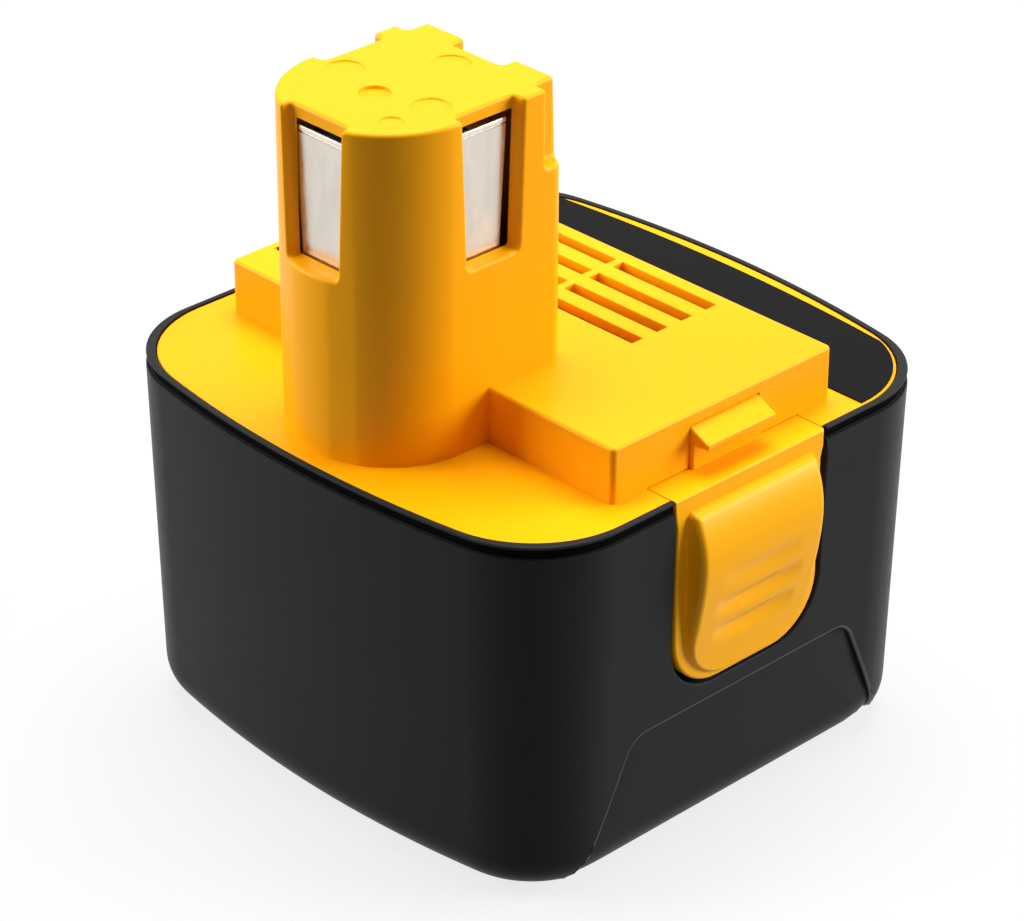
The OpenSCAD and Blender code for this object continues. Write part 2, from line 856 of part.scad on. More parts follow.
module coil() {
    count = coil_rings * spring_turns;
    loft([for (k = [0 : count]) coil_ring(k / count)]);
}

module latch_spring_right() {
    color(steel)
        coil();
}

module latch_spring_left() {
    color(steel)
        mirror([1, 0, 0])
            coil();
}

// Labels
module rear_label() {
    color(black)
        intersection() {
            outline_prism(bead_w + deck_gap + label_margin, case_h, case_h + label_t);
            box([-far, block_d / 2 + label_gap, 0], [far, half_d - label_rear, far]);
        }
}

module block_label() {
    color(black)
        translate([-block_x + tag_edge, -tag_len / 2, block_z - label_t])
            cube([tag_w, tag_len, label_t]);
}

// Contact plates
module contact_strip(width, foot_z) {
    box([-contact_t, -width / 2, sill_z - contact_dip], [0, width / 2, tab_z + contact_t]);
    box([-contact_t, -tail_w / 2, foot_z], [0, tail_w / 2, sill_z]);
}

module side_contact(foot_z, tab_len) {
    translate([side_contact_x, side_win_mid, 0]) {
        contact_strip(side_win_w - side_margin, foot_z);
        box([-tab_len, -tail_w / 2, tab_z], [0, tail_w / 2, tab_z + contact_t]);
    }
}

module contact_right() {
    color(nickel)
        side_contact((inside_z + tower_cell_z) / 2, side_contact_x - button_d / 4);
}

module contact_left() {
    color(nickel)
        mirror([1, 0, 0])
            side_contact(card_z, contact_t);
}

module contact_front() {
    color(nickel)
        translate([0, front_contact_y, 0])
            rotate([0, 0, -90])
                contact_strip(front_win_w, inside_z);
}

// Carrier under the tower's cell, with a shoe behind the tail of each contact
module terminal_holder() {
    r = cell_r - cell_fit;
    shoe = tail_w / 4;
    inner = r - holder_wall / 2;
    color(black)
        difference() {
            union() {
                translate([0, tower_cell_y, inside_z])
                    cylinder(r = r, h = tower_cell_z - inside_z);
                box(
                    [-side_contact_x + contact_t, side_win_mid - shoe, inside_z],
                    [side_contact_x - contact_t, side_win_mid + shoe, tower_cell_z]
                );
                box(
                    [-shoe, front_contact_y + contact_t, inside_z],
                    [shoe, tower_cell_y - inner, tower_cell_z]
                );
            }
            translate([0, tower_cell_y, inside_z - 1])
                cylinder(r = r - holder_wall, h = tower_cell_z - inside_z + 1 - holder_wall);
            translate([0, tower_cell_y, inside_z - eps])
                cylinder(d = button_d, h = far / 2);
            box(
                [0, tower_cell_y - strip_w / 4 - cell_fit, inside_z - 1],
                [far, tower_cell_y + strip_w / 4 + cell_fit, inside_z + strip_t + cell_fit]
            );
        }
}

// One cell: sleeved can with a button on one end
module cell(button_up) {
    color(sleeve)
        translate([0, 0, button_up ? 0 : button_h])
            cylinder(d = cell_d, h = cell_h - button_h);
    color(nickel)
        translate([0, 0, button_up ? cell_h - button_h - eps : 0])
            cylinder(d = button_d, h = button_h + eps);
}

module case_cell(i) {
    translate([cell_xy(i)[0], cell_xy(i)[1], cells_z])
        cell(i % 2 == 1);
}

module tower_cell() {
    translate([0, tower_cell_y, tower_cell_z])
        cell(true);
}

// Welded strips
module link(i, z) {
    a = cell_xy(i);
    b = cell_xy(i + 1);
    reach = strip_w / 2;
    box(
        [min(a[0], b[0]) - reach, min(a[1], b[1]) - reach, z],
        [max(a[0], b[0]) + reach, max(a[1], b[1]) + reach, z + strip_t]
    );
}

module links_bottom() {
    color(nickel)
        for (i = [0 : 2 : 6])
            link(i, cells_z - strip_t);
}

module links_top() {
    color(nickel)
        for (i = [1 : 2 : 7])
            link(i, cells_top);
}

// Strip from under the last cell, up its front, across the card and up inside the carrier to the tower's cell
module riser_strip() {
    c = cell_xy(8);
    front_y = c[1] - cell_r - cell_fit - strip_t;
    reach = strip_w / 2;
    rib_clear = rib_t * 3 / 4;
    x0 = c[0] - reach - rib_clear;
    x1 = c[0] - rib_clear;
    y0 = tower_cell_y - reach / 2;
    y1 = tower_cell_y + reach / 2;
    post_half = button_d / 4;
    color(nickel) {
        box([x0, front_y, cells_z - strip_t], [x1, c[1], cells_z]);
        box([x0, front_y, cells_z - strip_t], [x1, front_y + strip_t, inside_z + strip_t]);
        box([x0, front_y, inside_z], [x1, y1, inside_z + strip_t]);
        box([post_half, y0, inside_z], [x1, y1, inside_z + strip_t]);
        box([post_half, y0, inside_z], [post_half + strip_t, y1, tower_cell_z]);
        box([-post_half, y0, tower_cell_z - strip_t], [post_half + strip_t, y1, tower_cell_z]);
    }
}

// Strip from the first cell to the foot of the left contact
module negative_strip() {
    c = cell_xy(0);
    color(nickel)
        box(
            [c[0] - strip_w / 2, side_win_mid - tail_w / 2, cells_top],
            [-side_contact_x + contact_t, side_win_mid + tail_w / 2, card_z]
        );
}

module card_plate(z) {
    reach = cell_pitch + cell_r;
    translate([0, 0, z])
        linear_extrude(height = card_t) {
            square([2 * reach, 2 * cell_pitch], center = true);
            square([2 * cell_pitch, 2 * reach], center = true);
            for (sx = [-1, 1])
                for (sy = [-1, 1])
                    translate([sx * cell_pitch, sy * cell_pitch])
                        circle(cell_r);
        }
}

module card_bottom() {
    color(card)
        card_plate(floor_t);
}

module card_top() {
    slot_gap = 0.3;
    color(card)
        difference() {
            card_plate(card_z);
            box(
                [-side_contact_x - slot_gap, side_win_mid - tail_w / 2 - slot_gap, 0],
                [-side_contact_x + contact_t + slot_gap, side_win_mid + tail_w / 2 + slot_gap, far]
            );
            translate([-cell_pitch / 2, -cell_pitch / 2, 0])
                cylinder(d = lead_d + 2 * slot_gap, h = far);
        }
}

module tower_pad() {
    color(black)
        translate([0, tower_cell_y, tab_z + contact_t])
            cylinder(r = cell_r - holder_wall, h = pad_t);
}

// Thermistor upright between four cells, with its lead over the card to the front contact
module thermistor() {
    x = -cell_pitch / 2;
    y = -cell_pitch / 2;
    run_x = -side_contact_x - 2 * lead_d;
    run_y = front_contact_y + contact_t + lead_d / 2;
    z = inside_z + lead_d / 2;
    body_top = cells_top - strip_t;
    function legs() = [[x, y, z], [run_x, y, z], [run_x, run_y, z], [-tail_w * 0.4, run_y, z]];
    color(steel) {
        translate([x, y, body_top - thermistor_len])
            cylinder(d = thermistor_d, h = thermistor_len);
        translate([x, y, body_top - eps])
            cylinder(d = lead_d, h = z - body_top + eps);
        for (k = [0 : 2])
            let (p = legs()[k], q = legs()[k + 1])
                lead_leg(p, q);
        for (k = [0 : 2])
            translate(legs()[k])
                sphere(d = lead_d);
    }
}

// Straight stretch of round lead along X or Y
module lead_leg(p, q) {
    v = q - p;
    along_x = abs(v[0]) > abs(v[1]);
    translate((p + q) / 2)
        rotate(along_x ? [0, 90, 0] : [90, 0, 0])
            cylinder(d = lead_d, h = norm(v), center = true);
}

module thermal_cutout() {
    reach = cutout_len / 2 + cutout_tab_len;
    color(steel)
        translate([cell_pitch / 2, cell_pitch / 2, inside_z]) {
            box([-cutout_len / 2, -cutout_w / 2, 0], [cutout_len / 2, cutout_w / 2, cutout_h]);
            box([-reach, -cutout_tab_w / 2, 0], [reach, cutout_tab_w / 2, strip_t]);
        }
}

module case_screws() {
    slot = 0.7;
    color(steel)
        at_screws()
            difference() {
                union() {
                    translate([0, 0, well_depth - head_h])
                        cylinder(d = head_d, h = head_h);
                    translate([0, 0, well_depth - eps])
                        cylinder(d = screw_d, h = screw_len + eps);
                }
                for (a = [0, 90])
                    rotate([0, 0, a])
                        translate([0, 0, well_depth - head_h])
                            cube([head_d * 0.55, slot, 2 * slot], center = true);
            }
}

lower_case();
top_cover();
latch_right();
latch_left();
latch_spring_right();
latch_spring_left();
rear_label();
block_label();
contact_right();
contact_left();
contact_front();
terminal_holder();
case_cell(0);  // cell_01
case_cell(1);  // cell_02
case_cell(2);  // cell_03
case_cell(3);  // cell_04
case_cell(4);  // cell_05
case_cell(5);  // cell_06
case_cell(6);  // cell_07
case_cell(7);  // cell_08
case_cell(8);  // cell_09
tower_cell();  // cell_10
links_bottom();
links_top();
riser_strip();
negative_strip();
card_bottom();
card_top();
tower_pad();
thermistor();
thermal_cutout();
case_screws();
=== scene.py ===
"""Looks of the battery pack: moulded shells, latches, contacts, labels, springs, finishes and studio.

Lengths are millimetres in the part's own frame until a piece is finished, and metres after that.
+Z is up, +X points to the right latch and -Y to the front. The origin is on the bottom face, in the
middle of the case.
"""

import logging
import math
from contextlib import contextmanager
from dataclasses import dataclass, field
from enum import Enum
from typing import Callable, Iterator, Sequence

import bpy
from mathutils import Matrix, Vector


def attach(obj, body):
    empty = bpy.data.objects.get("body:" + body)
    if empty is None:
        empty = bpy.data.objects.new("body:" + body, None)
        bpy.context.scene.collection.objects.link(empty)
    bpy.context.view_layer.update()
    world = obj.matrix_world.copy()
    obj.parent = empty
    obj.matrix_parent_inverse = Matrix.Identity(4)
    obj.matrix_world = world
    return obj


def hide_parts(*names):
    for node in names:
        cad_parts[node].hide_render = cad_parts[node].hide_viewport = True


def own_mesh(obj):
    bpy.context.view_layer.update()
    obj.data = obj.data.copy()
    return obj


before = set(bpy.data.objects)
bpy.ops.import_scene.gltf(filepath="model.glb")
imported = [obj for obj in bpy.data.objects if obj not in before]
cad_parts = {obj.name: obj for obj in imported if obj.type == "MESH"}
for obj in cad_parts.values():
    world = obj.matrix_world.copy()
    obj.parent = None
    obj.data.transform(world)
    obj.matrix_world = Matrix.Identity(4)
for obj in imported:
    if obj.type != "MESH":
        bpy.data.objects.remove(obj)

LOG = logging.getLogger("battery_pack")
MM = 0.001
QUARTER = math.pi / 2

# Signs of a rectangle's corners, counter-clockwise
SQUARE = ((-1, -1), (1, -1), (1, 1), (-1, 1))
# Height of the deck, and of the block's top face
DECK = 57.0
BLOCK_TOP = 65.5
# Places of the case screws from the middle
SCREW_X, SCREW_Y = 33.6, 32.8
# Height of the latch springs
SPRING_HEIGHT = 41.0
# Height of the windows' sill, and middle of the side windows from front to rear
SILL = 84.4
SIDE_WINDOW_Y = -20.45
# The label on the block: its middle across the pack, its half sizes and its thickness
TAG_X = -29.55
TAG_HALF = (7.75, 14.8)
LABEL_THICK = 0.2
# A place outside the whole pack where cutters end, and a height below the cover where they begin
OUTSIDE = 60.0
BELOW_COVER = 40.0
# Distance by which a solid reaches into the one that it joins, and a cutter past the one that it cuts
SUNK = 1.0
# Distance within which a place counts as lying on a face
TOUCH = 0.01
# Sides of a circle, from those in view to those deep inside
FINE, MEDIUM, COARSE = 40, 32, 24
# Distances below which points become one, for plain solids and for fine skins
MERGE = 0.001
FINE_MERGE = 1e-5

Point2 = tuple[float, float]
Point3 = tuple[float, float, float]
Pick = Callable[[Vector], bool]
Piece = bpy.types.Object
Tree = bpy.types.NodeTree
Socket = bpy.types.NodeSocket


class Axis(Enum):
    """Direction in which an outline is drawn out into a prism."""

    X = "x"
    Y = "y"
    Z = "z"

    def place(self, u: float, v: float, w: float) -> Point3:
        """Gives the point (u, v) of an outline at distance w along this axis."""
        return {Axis.X: (w, u, v), Axis.Y: (u, w, v), Axis.Z: (u, v, w)}[self]


class Side(Enum):
    """Side of the pack on which a latch or spring sits."""

    RIGHT = 1
    LEFT = -1

    @property
    def word(self) -> str:
        """Name of the side as it stands in node names."""
        return self.name.lower()


class Join(Enum):
    """Ways in which one solid changes another."""

    CUT = "DIFFERENCE"
    ADD = "UNION"


def rounded(corners: Sequence[Point3], steps: int = 5) -> list[Point2]:
    """Rounds the corners of a closed outline.

    Args:
        corners: Corners as (u, v, radius), in order round the outline.
        steps: Straight pieces in each rounded corner.

    Returns:
        The outline's points in the same order.
    """
    outline: list[Point2] = []
    for i, (u, v, radius) in enumerate(corners):
        if radius <= 0:
            outline.append((u, v))
            continue
        here = Vector((u, v))
        before = (Vector(corners[i - 1][:2]) - here).normalized()
        after = (Vector(corners[(i + 1) % len(corners)][:2]) - here).normalized()
        half = before.angle(after) / 2
        centre = here + (before + after).normalized() * (radius / math.sin(half))
        start = here + before * (radius / math.tan(half)) - centre
        end = here + after * (radius / math.tan(half)) - centre
        turn = math.atan2(start.x * end.y - start.y * end.x, start.dot(end))
        first = math.atan2(start.y, start.x)
        for k in range(steps + 1):
            angle = first + turn * k / steps
            outline.append((centre.x + radius * math.cos(angle), centre.y + radius * math.sin(angle)))
    return outline


def circle(x: float, y: float, radius: float, steps: int) -> list[Point2]:
    """Gives the points of a circle, counter-clockwise."""
    turn = 2 * math.pi / steps
    return [(x + radius * math.cos(k * turn), y + radius * math.sin(k * turn)) for k in range(steps)]


def spread(low: float, high: float, count: int) -> list[float]:
    """Gives evenly spaced values from low to high, both included."""
    return [low + (high - low) * k / (count - 1) for k in range(count)]


def ease(share: float) -> float:
    """Turns an even share from 0 to 1 into one that starts and ends gently."""
    return share * share * (3 - 2 * share)


def level(outline: Sequence[Point2], z: float) -> list[Point3]:
    """Lifts an outline to a height."""
    return [(x, y, z) for x, y in outline]


class Bench:
    """The modelling bench: shapes made with operators on what is selected."""

    @staticmethod
    def clear() -> None:
        """Leaves edit mode and deselects everything."""
        if bpy.context.object and bpy.context.object.mode != "OBJECT":
            bpy.ops.object.mode_set(mode="OBJECT")
        bpy.ops.object.select_all(action="DESELECT")

    @staticmethod
    def hold(piece: Piece) -> None:
        """Selects one piece alone and makes it active.

        Args:
            piece: The piece to work on.
        """
        Bench.clear()
        piece.select_set(True)
        bpy.context.view_layer.objects.active = piece

    @staticmethod
    @contextmanager
    def editing(piece: Piece) -> Iterator[None]:
        """Opens a piece in edit mode with all of it selected, and closes it again.

        Args:
            piece: The piece to edit.

        Yields:
            Nothing, while the piece is open.
        """
        Bench.hold(piece)
        bpy.ops.object.mode_set(mode="EDIT")
        bpy.ops.mesh.select_all(action="SELECT")
        yield
        bpy.ops.object.mode_set(mode="OBJECT")

    @staticmethod
    def tidy(piece: Piece, gap: float = MERGE) -> None:
        """Merges points that lie together and turns the faces outwards.

        Args:
            piece: The piece to clean.
            gap: Points closer than this become one.
        """
        with Bench.editing(piece):
            bpy.ops.mesh.remove_doubles(threshold=gap)
            bpy.ops.mesh.dissolve_degenerate(threshold=gap)
            bpy.ops.mesh.select_all(action="SELECT")
            bpy.ops.mesh.normals_make_consistent(inside=False)

    @staticmethod
    def resize(piece: Piece, scale: Point3) -> None:
        """Scales a piece about the origin and puts the scale into its mesh.

        Args:
            piece: The piece to scale.
            scale: Factors along X, Y and Z.
        """
        Bench.hold(piece)
        piece.scale = scale
        bpy.ops.object.transform_apply(location=True, rotation=True, scale=True)

    @staticmethod
    def modify(piece: Piece, kind: str, **settings: object) -> None:
        """Adds a modifier to a piece, sets it and applies it.

        Args:
            piece: The piece that changes.
            kind: Kind of modifier.
            settings: The modifier's settings by name.
        """
        Bench.hold(piece)
        change = piece.modifiers.new(kind.lower(), kind)
        for name, value in settings.items():
            setattr(change, name, value)
        bpy.ops.object.modifier_apply(modifier=change.name)

    @staticmethod
    def prism(
        name: str, outline: Sequence[Point2], low: float, high: float, axis: Axis = Axis.Z
    ) -> Piece:
        """Draws a closed outline out along an axis.

        Args:
            name: Name of the new piece.
            outline: Points of the outline.
            low: Start along the axis.
            high: End along the axis.
            axis: Direction of the prism.

        Returns:
            The prism.
        """
        Bench.clear()
        bpy.ops.mesh.primitive_circle_add(vertices=len(outline), radius=1.0, fill_type="NGON")
        piece = bpy.context.active_object
        piece.name = name
        for vertex, (u, v) in zip(piece.data.vertices, outline):
            vertex.co = axis.place(u, v, low)
        way = axis.place(0, 0, high - low)
        with Bench.editing(piece):
            bpy.ops.mesh.extrude_region_move(TRANSFORM_OT_translate={"value": way})
        Bench.tidy(piece)
        return piece

    @staticmethod
    def box(name: str, low: Point3, high: Point3) -> Piece:
        """Makes a box from its lowest to its highest corner."""
        outline = [(low[0], low[1]), (high[0], low[1]), (high[0], high[1]), (low[0], high[1])]
        return Bench.prism(name, outline, low[2], high[2])

    @staticmethod
    def skin(name: str, rings: Sequence[Sequence[Point3]]) -> Piece:
        """Lays a closed skin of quads over rings of points and fills its two ends.

        Args:
            name: Name of the new piece.
            rings: Rings from one end to the other, each with the same number of points.

        Returns:
            The solid.
        """
        across, along = len(rings[0]), len(rings) - 1
        Bench.clear()
        bpy.ops.mesh.primitive_grid_add(x_subdivisions=across, y_subdivisions=along, size=2)
        piece = bpy.context.active_object
        piece.name = name
        for vertex in piece.data.vertices:
            i = round((vertex.co.x + 1) / 2 * across) % across
            j = round((vertex.co.y + 1) / 2 * along)
            vertex.co = rings[j][i]
        with Bench.editing(piece):
            bpy.ops.mesh.remove_doubles(threshold=FINE_MERGE)
            bpy.ops.mesh.select_all(action="SELECT")
            bpy.ops.mesh.fill_holes(sides=0)
        Bench.tidy(piece, FINE_MERGE)
        return piece

    @staticmethod
    def join(piece: Piece, other: Piece, how: Join) -> None:
        """Cuts one solid out of another, or adds it, and removes it from the bench.

        Args:
            piece: The solid that changes.
            other: The solid that is cut out or added.
            how: Cut or add.
        """
        Bench.modify(piece, "BOOLEAN", object=other, operation=how.value, solver="EXACT")
        if not piece.data.polygons:
            raise RuntimeError(f"joining {other.name} left nothing of {piece.name}")
        Bench.hold(other)
        bpy.ops.object.delete()

    @staticmethod
    def both_sides(piece: Piece, other: Piece, how: Join) -> None:
        """Joins a solid and its mirror image across the middle plane.

        Args:
            piece: The solid that changes.
            other: The solid on the right side.
            how: Cut or add.
        """
        Bench.hold(other)
        bpy.ops.object.duplicate(linked=False)
        twin = bpy.context.active_object
        Bench.resize(twin, (-1, 1, 1))
        Bench.tidy(twin, FINE_MERGE)
        Bench.join(piece, other, how)
        Bench.join(piece, twin, how)

    @staticmethod
    def bevel(
        piece: Piece, width: float, pick: Pick, sharp: float = 35.0, segments: int = 3, slot: int = -1
    ) -> None:
        """Rounds the sharp edges that a test picks.

        Args:
            piece: The piece whose edges are rounded.
            width: Set-back of the rounding from the edge.
            pick: Test on an edge's middle.
            sharp: Least angle between the two faces, in degrees.
            segments: Strips in the rounding.
            slot: Material slot of the rounding, or -1 for that of the faces beside it.
        """
        mesh = piece.data
        normals: dict[tuple[int, int], list[Vector]] = {}
        for polygon in mesh.polygons:
            for key in polygon.edge_keys:
                normals.setdefault(key, []).append(polygon.normal)
        weights = mesh.attributes.new("bevel_weight_edge", "FLOAT", "EDGE")
        for edge in mesh.edges:
            beside = normals.get(edge.key, [])
            if len(beside) != 2 or beside[0].angle(beside[1], 0.0) < math.radians(sharp):
                continue
            first, last = (mesh.vertices[i].co for i in edge.vertices)
            weights.data[edge.index].value = float(pick((first + last) / 2))
        Bench.modify(
            piece,
            "BEVEL",
            width=width,
            segments=segments,
            material=slot,
            limit_method="WEIGHT",
            use_clamp_overlap=False,
            miter_outer="MITER_ARC",
        )
        weights = mesh.attributes.get("bevel_weight_edge")
        if weights is not None:
            mesh.attributes.remove(weights)

    @staticmethod
    def finish(
        piece: Piece, body: str, node: str, slot: str, finish: "Finish", smooth: float = 32.0
    ) -> Piece:
        """Brings a piece to metres, smooths and dresses it, and lets it ride on its body.

        Args:
            piece: The finished shape, in millimetres.
            body: Body that the piece moves with.
            node: CAD node that it stands for.
            slot: Material slot of the record; not used.
            finish: Finish of its surface, where it has none yet.
            smooth: Edges flatter than this angle, in degrees, are shaded smooth.

        Returns:
            The piece.
        """
        Bench.resize(piece, (MM, MM, MM))
        bpy.ops.object.shade_smooth_by_angle(angle=math.radians(smooth))
        Bench.modify(piece, "WEIGHTED_NORMAL", keep_sharp=True)
        if not piece.data.materials:
            piece.data.materials.append(finish.material())
        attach(piece, body)
        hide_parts(node)
        LOG.info("%s: %d faces on %s", piece.name, len(piece.data.polygons), body)
        Bench.clear()
        return piece


def add_node(tree: Tree, kind: str, **inputs: object) -> bpy.types.Node:
    """Adds a shader node and sets some of its inputs.

    Args:
        tree: Node tree that takes the node.
        kind: Kind of node, as its type is called after the common beginning.
        inputs: Values by the inputs' names, with an underscore for each space.

    Returns:
        The node.
    """
    node = tree.nodes.new("ShaderNode" + kind)
    for name, value in inputs.items():
        node.inputs[name.replace("_", " ")].default_value = value
    return node


@dataclass(frozen=True)
class Finish:
    """A surface finish: colour, gloss and the fine relief of the real material.

    Attributes:
        name: Name of the material.
        colour: Linear base colour.
        roughness: Mean roughness.
        rough_range: Spread of the roughness over the surface.
        metallic: 1 for metal, 0 for everything else.
        mottle: Share by which the colour varies from place to place.
        mottle_size: Size of those places in millimetres.
        grain: Height of the fine relief in millimetres.
        grain_size: Size of the fine relief in millimetres.
        stretch: Scale of the pattern along X, Y and Z.
        specular: Specular level.
        least_rough: Lowest roughness at any place.
        noise_rough: Share of finer detail in the patterns.
    """

    name: str
    colour: Point3
    roughness: float = 0.4
    rough_range: float = 0.06
    metallic: float = 0.0
    mottle: float = 0.04
    mottle_size: float = 8.0
    grain: float = 0.01
    grain_size: float = 0.3
    stretch: Point3 = (1.0, 1.0, 1.0)
    specular: float = 0.5
    least_rough: float = 0.03
    noise_rough: float = 0.55

    def material(self) -> bpy.types.Material:
        """Makes the material once and gives it back each time.

        Returns:
            The node material.
        """
        name = "look_" + self.name
        found = bpy.data.materials.get(name)
        if found is not None:
            return found
        made = bpy.data.materials.new(name)
        made.use_nodes = True
        tree = made.node_tree
        shader = tree.nodes["Principled BSDF"]
        shader.inputs["Metallic"].default_value = self.metallic
        shader.inputs["Specular IOR Level"].default_value = self.specular
        place = add_node(tree, "TexCoord")
        turn = add_node(tree, "Mapping", Scale=self.stretch)
        tree.links.new(place.outputs["Object"], turn.inputs["Vector"])
        self.paint(tree, shader, turn.outputs["Vector"])
        self.relief(tree, shader, turn.outputs["Vector"])
        return made

    def noise(self, tree: Tree, vector: Socket, size: float, detail: float) -> Socket:
        """Adds a noise pattern.

        Args:
            tree: Node tree of the material.
            vector: Place on the surface.
            size: Size of the pattern in millimetres.
            detail: Number of finer layers.

        Returns:
            The pattern's value.
        """
        scale = 1.0 / (size * MM)
        node = add_node(tree, "TexNoise", Scale=scale, Detail=detail, Roughness=self.noise_rough)
        tree.links.new(vector, node.inputs["Vector"])
        return node.outputs["Fac"]

    def paint(self, tree: Tree, shader: bpy.types.Node, vector: Socket) -> None:
        """Lays the colour and the roughness, both slightly uneven.

        Args:
            tree: Node tree of the material.
            shader: Its shader.
            vector: Place on the surface.
        """
        cloud = self.noise(tree, vector, self.mottle_size, detail=4.0)
        blend = add_node(tree, "Mix")
        blend.data_type = "RGBA"
        for socket, change in (("A", 1 - self.mottle), ("B", 1 + self.mottle)):
            blend.inputs[socket].default_value = (*(min(1.0, c * change) for c in self.colour), 1.0)
        tree.links.new(cloud, blend.inputs["Factor"])
        tree.links.new(blend.outputs["Result"], shader.inputs["Base Color"])
        least = max(self.least_rough, self.roughness - self.rough_range)
        sheen = add_node(tree, "MapRange", To_Min=least, To_Max=self.roughness + self.rough_range)
        patches = self.noise(tree, vector, self.mottle_size / 4, detail=3.0)
        tree.links.new(patches, sheen.inputs["Value"])
        tree.links.new(sheen.outputs["Result"], shader.inputs["Roughness"])

    def relief(self, tree: Tree, shader: bpy.types.Node, vector: Socket) -> None:
        """Raises the fine relief of the surface.

        Args:
            tree: Node tree of the material.
            shader: Its shader.
            vector: Place on the surface.
        """
        bump = add_node(tree, "Bump", Distance=self.grain * MM, Strength=1.0)
        grain = self.noise(tree, vector, self.grain_size, detail=2.0)
        tree.links.new(grain, bump.inputs["Height"])
        tree.links.new(bump.outputs["Normal"], shader.inputs["Normal"])


CASE_BLACK = Finish(
    "case_black", (0.0175, 0.0203, 0.0195), 0.40, mottle=0.12, grain=0.012, grain_size=0.28, specular=0.05
)
# Glossier, darker copy of the case plastic for the side panels' bevelled edges: painted highlight and
# painted shade
CASE_EDGE_PAINTED_HIGHLIGHT_SHADE = Finish("case_edge", (0.015, 0.016, 0.016), 0.36, mottle=0.12, grain=0.008, grain_size=0.28)
# Near-black matte for the faces inside the rim's groove: painted shade, not a separate part
CASE_GROOVE_PAINTED_SHADE = Finish("case_gap", (0.0015, 0.0015, 0.0015), 0.75, mottle=0.10, specular=0.02)
COVER_YELLOW = Finish(
    "cover_yellow", (1.0, 0.415, 0.001), 0.36, 0.05, mottle=0.02, mottle_size=14,
    grain=0.004, grain_size=0.6, specular=0.12,
)
LATCH_YELLOW = Finish(
    "latch_yellow", (1.0, 0.435, 0.001), 0.32, 0.05, mottle=0.02, mottle_size=10,
    grain=0.004, grain_size=0.6, specular=0.13,
)
LABEL_FILM = Finish(
    "label_film", (0.0036, 0.0036, 0.0038), 0.34, 0.05, mottle=0.10, mottle_size=5, grain=0.002,
    specular=0.035,
)
CONTACT_PLATE = Finish(
    "contact_plate", (0.68, 0.625, 0.55), 0.23, 0.12, 1.0, mottle=0.14, mottle_size=2.2,
    grain=0.004, grain_size=0.6, stretch=(1.0, 1.0, 0.3),
)
SPRING_WIRE = Finish("spring_wire", (0.50, 0.51, 0.53), 0.30, 0.06, 1.0, grain=0.004, grain_size=0.2)
CARRIER_BLACK = Finish("carrier_black", (0.02, 0.02, 0.021), 0.5, mottle=0.08)
CELL_SLEEVE = Finish(
    "cell_sleeve", (0.022, 0.09, 0.27), 0.28, 0.05, mottle=0.06, mottle_size=6, grain_size=3
)
STRIP_NICKEL = Finish(
    "strip_nickel", (0.70, 0.67, 0.62), 0.33, 0.08, 1.0, mottle=0.08, mottle_size=3, grain=0.004,
    stretch=(0.2, 1.0, 1.0),
)
CARD_FIBRE = Finish(
    "card_fibre", (0.55, 0.50, 0.38), 0.8, mottle=0.10, mottle_size=2, grain=0.02, grain_size=0.5
)
PAD_FOAM = Finish(
    "pad_foam", (0.03, 0.03, 0.03), 0.9, 0.05, mottle=0.15, mottle_size=1, grain=0.05, grain_size=0.4
)
SENSOR_EPOXY = Finish("sensor_epoxy", (0.05, 0.05, 0.06), 0.4, mottle=0.08)
CUTOUT_METAL = Finish("cutout_metal", (0.55, 0.55, 0.54), 0.38, 0.08, 1.0, mottle=0.06, grain=0.006)
SCREW_STEEL = Finish(
    "screw_steel", (0.48, 0.48, 0.50), 0.34, 0.08, 1.0, mottle=0.08, mottle_size=2, grain=0.006
)


@dataclass(frozen=True)
class CaseOutline:
    """Outline of the case: straight sides, round corners, bowed front and rear.

    Attributes:
        width: Size across the latches.
        depth: Size from front to rear.
        corner: Radius of the corners.
        bow: Radius of the bowed faces.
        corner_steps: Straight pieces in a corner.
        bow_steps: Straight pieces in half of a bowed face.
    """

    width: float = 89.0
    depth: float = 89.0
    corner: float = 16.0
    bow: float = 185.0
    corner_steps: int = 18
    bow_steps: int = 9

    @property
    def corner_x(self) -> float:
        """Distance of a corner's centre from the middle, across."""
        return self.width / 2 - self.corner

    @property
    def corner_y(self) -> float:
        """Distance of a corner's centre from the middle, front to rear."""
        reach = math.sqrt((self.bow - self.corner) ** 2 - self.corner_x**2)
        return self.depth / 2 - self.bow + reach

    def points(self, inset: float) -> list[Point2]:
        """Gives the outline, drawn in by an inset, counter-clockwise from the right side's rear end.

        Args:
            inset: Distance inwards from the full outline.

        Returns:
            The outline's points.
        """
        bowed = math.asin(self.corner_x / (self.bow - self.corner))
        corner, bow = self.corner - inset, self.bow - inset
        middle = self.depth / 2 - self.bow
        quarter = [
            (self.corner_x + corner * math.cos(t), self.corner_y + corner * math.sin(t))
            for t in spread(0.0, QUARTER - bowed, self.corner_steps + 1)
        ]
        quarter += [
            (bow * math.sin(t), middle + bow * math.cos(t))
            for t in spread(bowed, 0.0, self.bow_steps + 1)[1:]
        ]
        half = quarter + [(-x, y) for x, y in reversed(quarter[:-1])]
        return half + [(-x, -y) for x, y in half]

    def side(self, y: float, inset: float) -> float:
        """Gives the distance of the side wall from the middle plane.

        Args:
            y: Place along the wall, front to rear.
            inset: Distance inwards from the full outline.

        Returns:
            The distance, smaller where the wall turns into a corner.
        """
        past = abs(y) - self.corner_y
        if past <= 0:
            return self.width / 2 - inset
        return self.corner_x + math.sqrt((self.corner - inset) ** 2 - past**2)


# The inner edge of the rim has rounder corners than the case
RIM_OUTLINE = CaseOutline(corner=17.8)


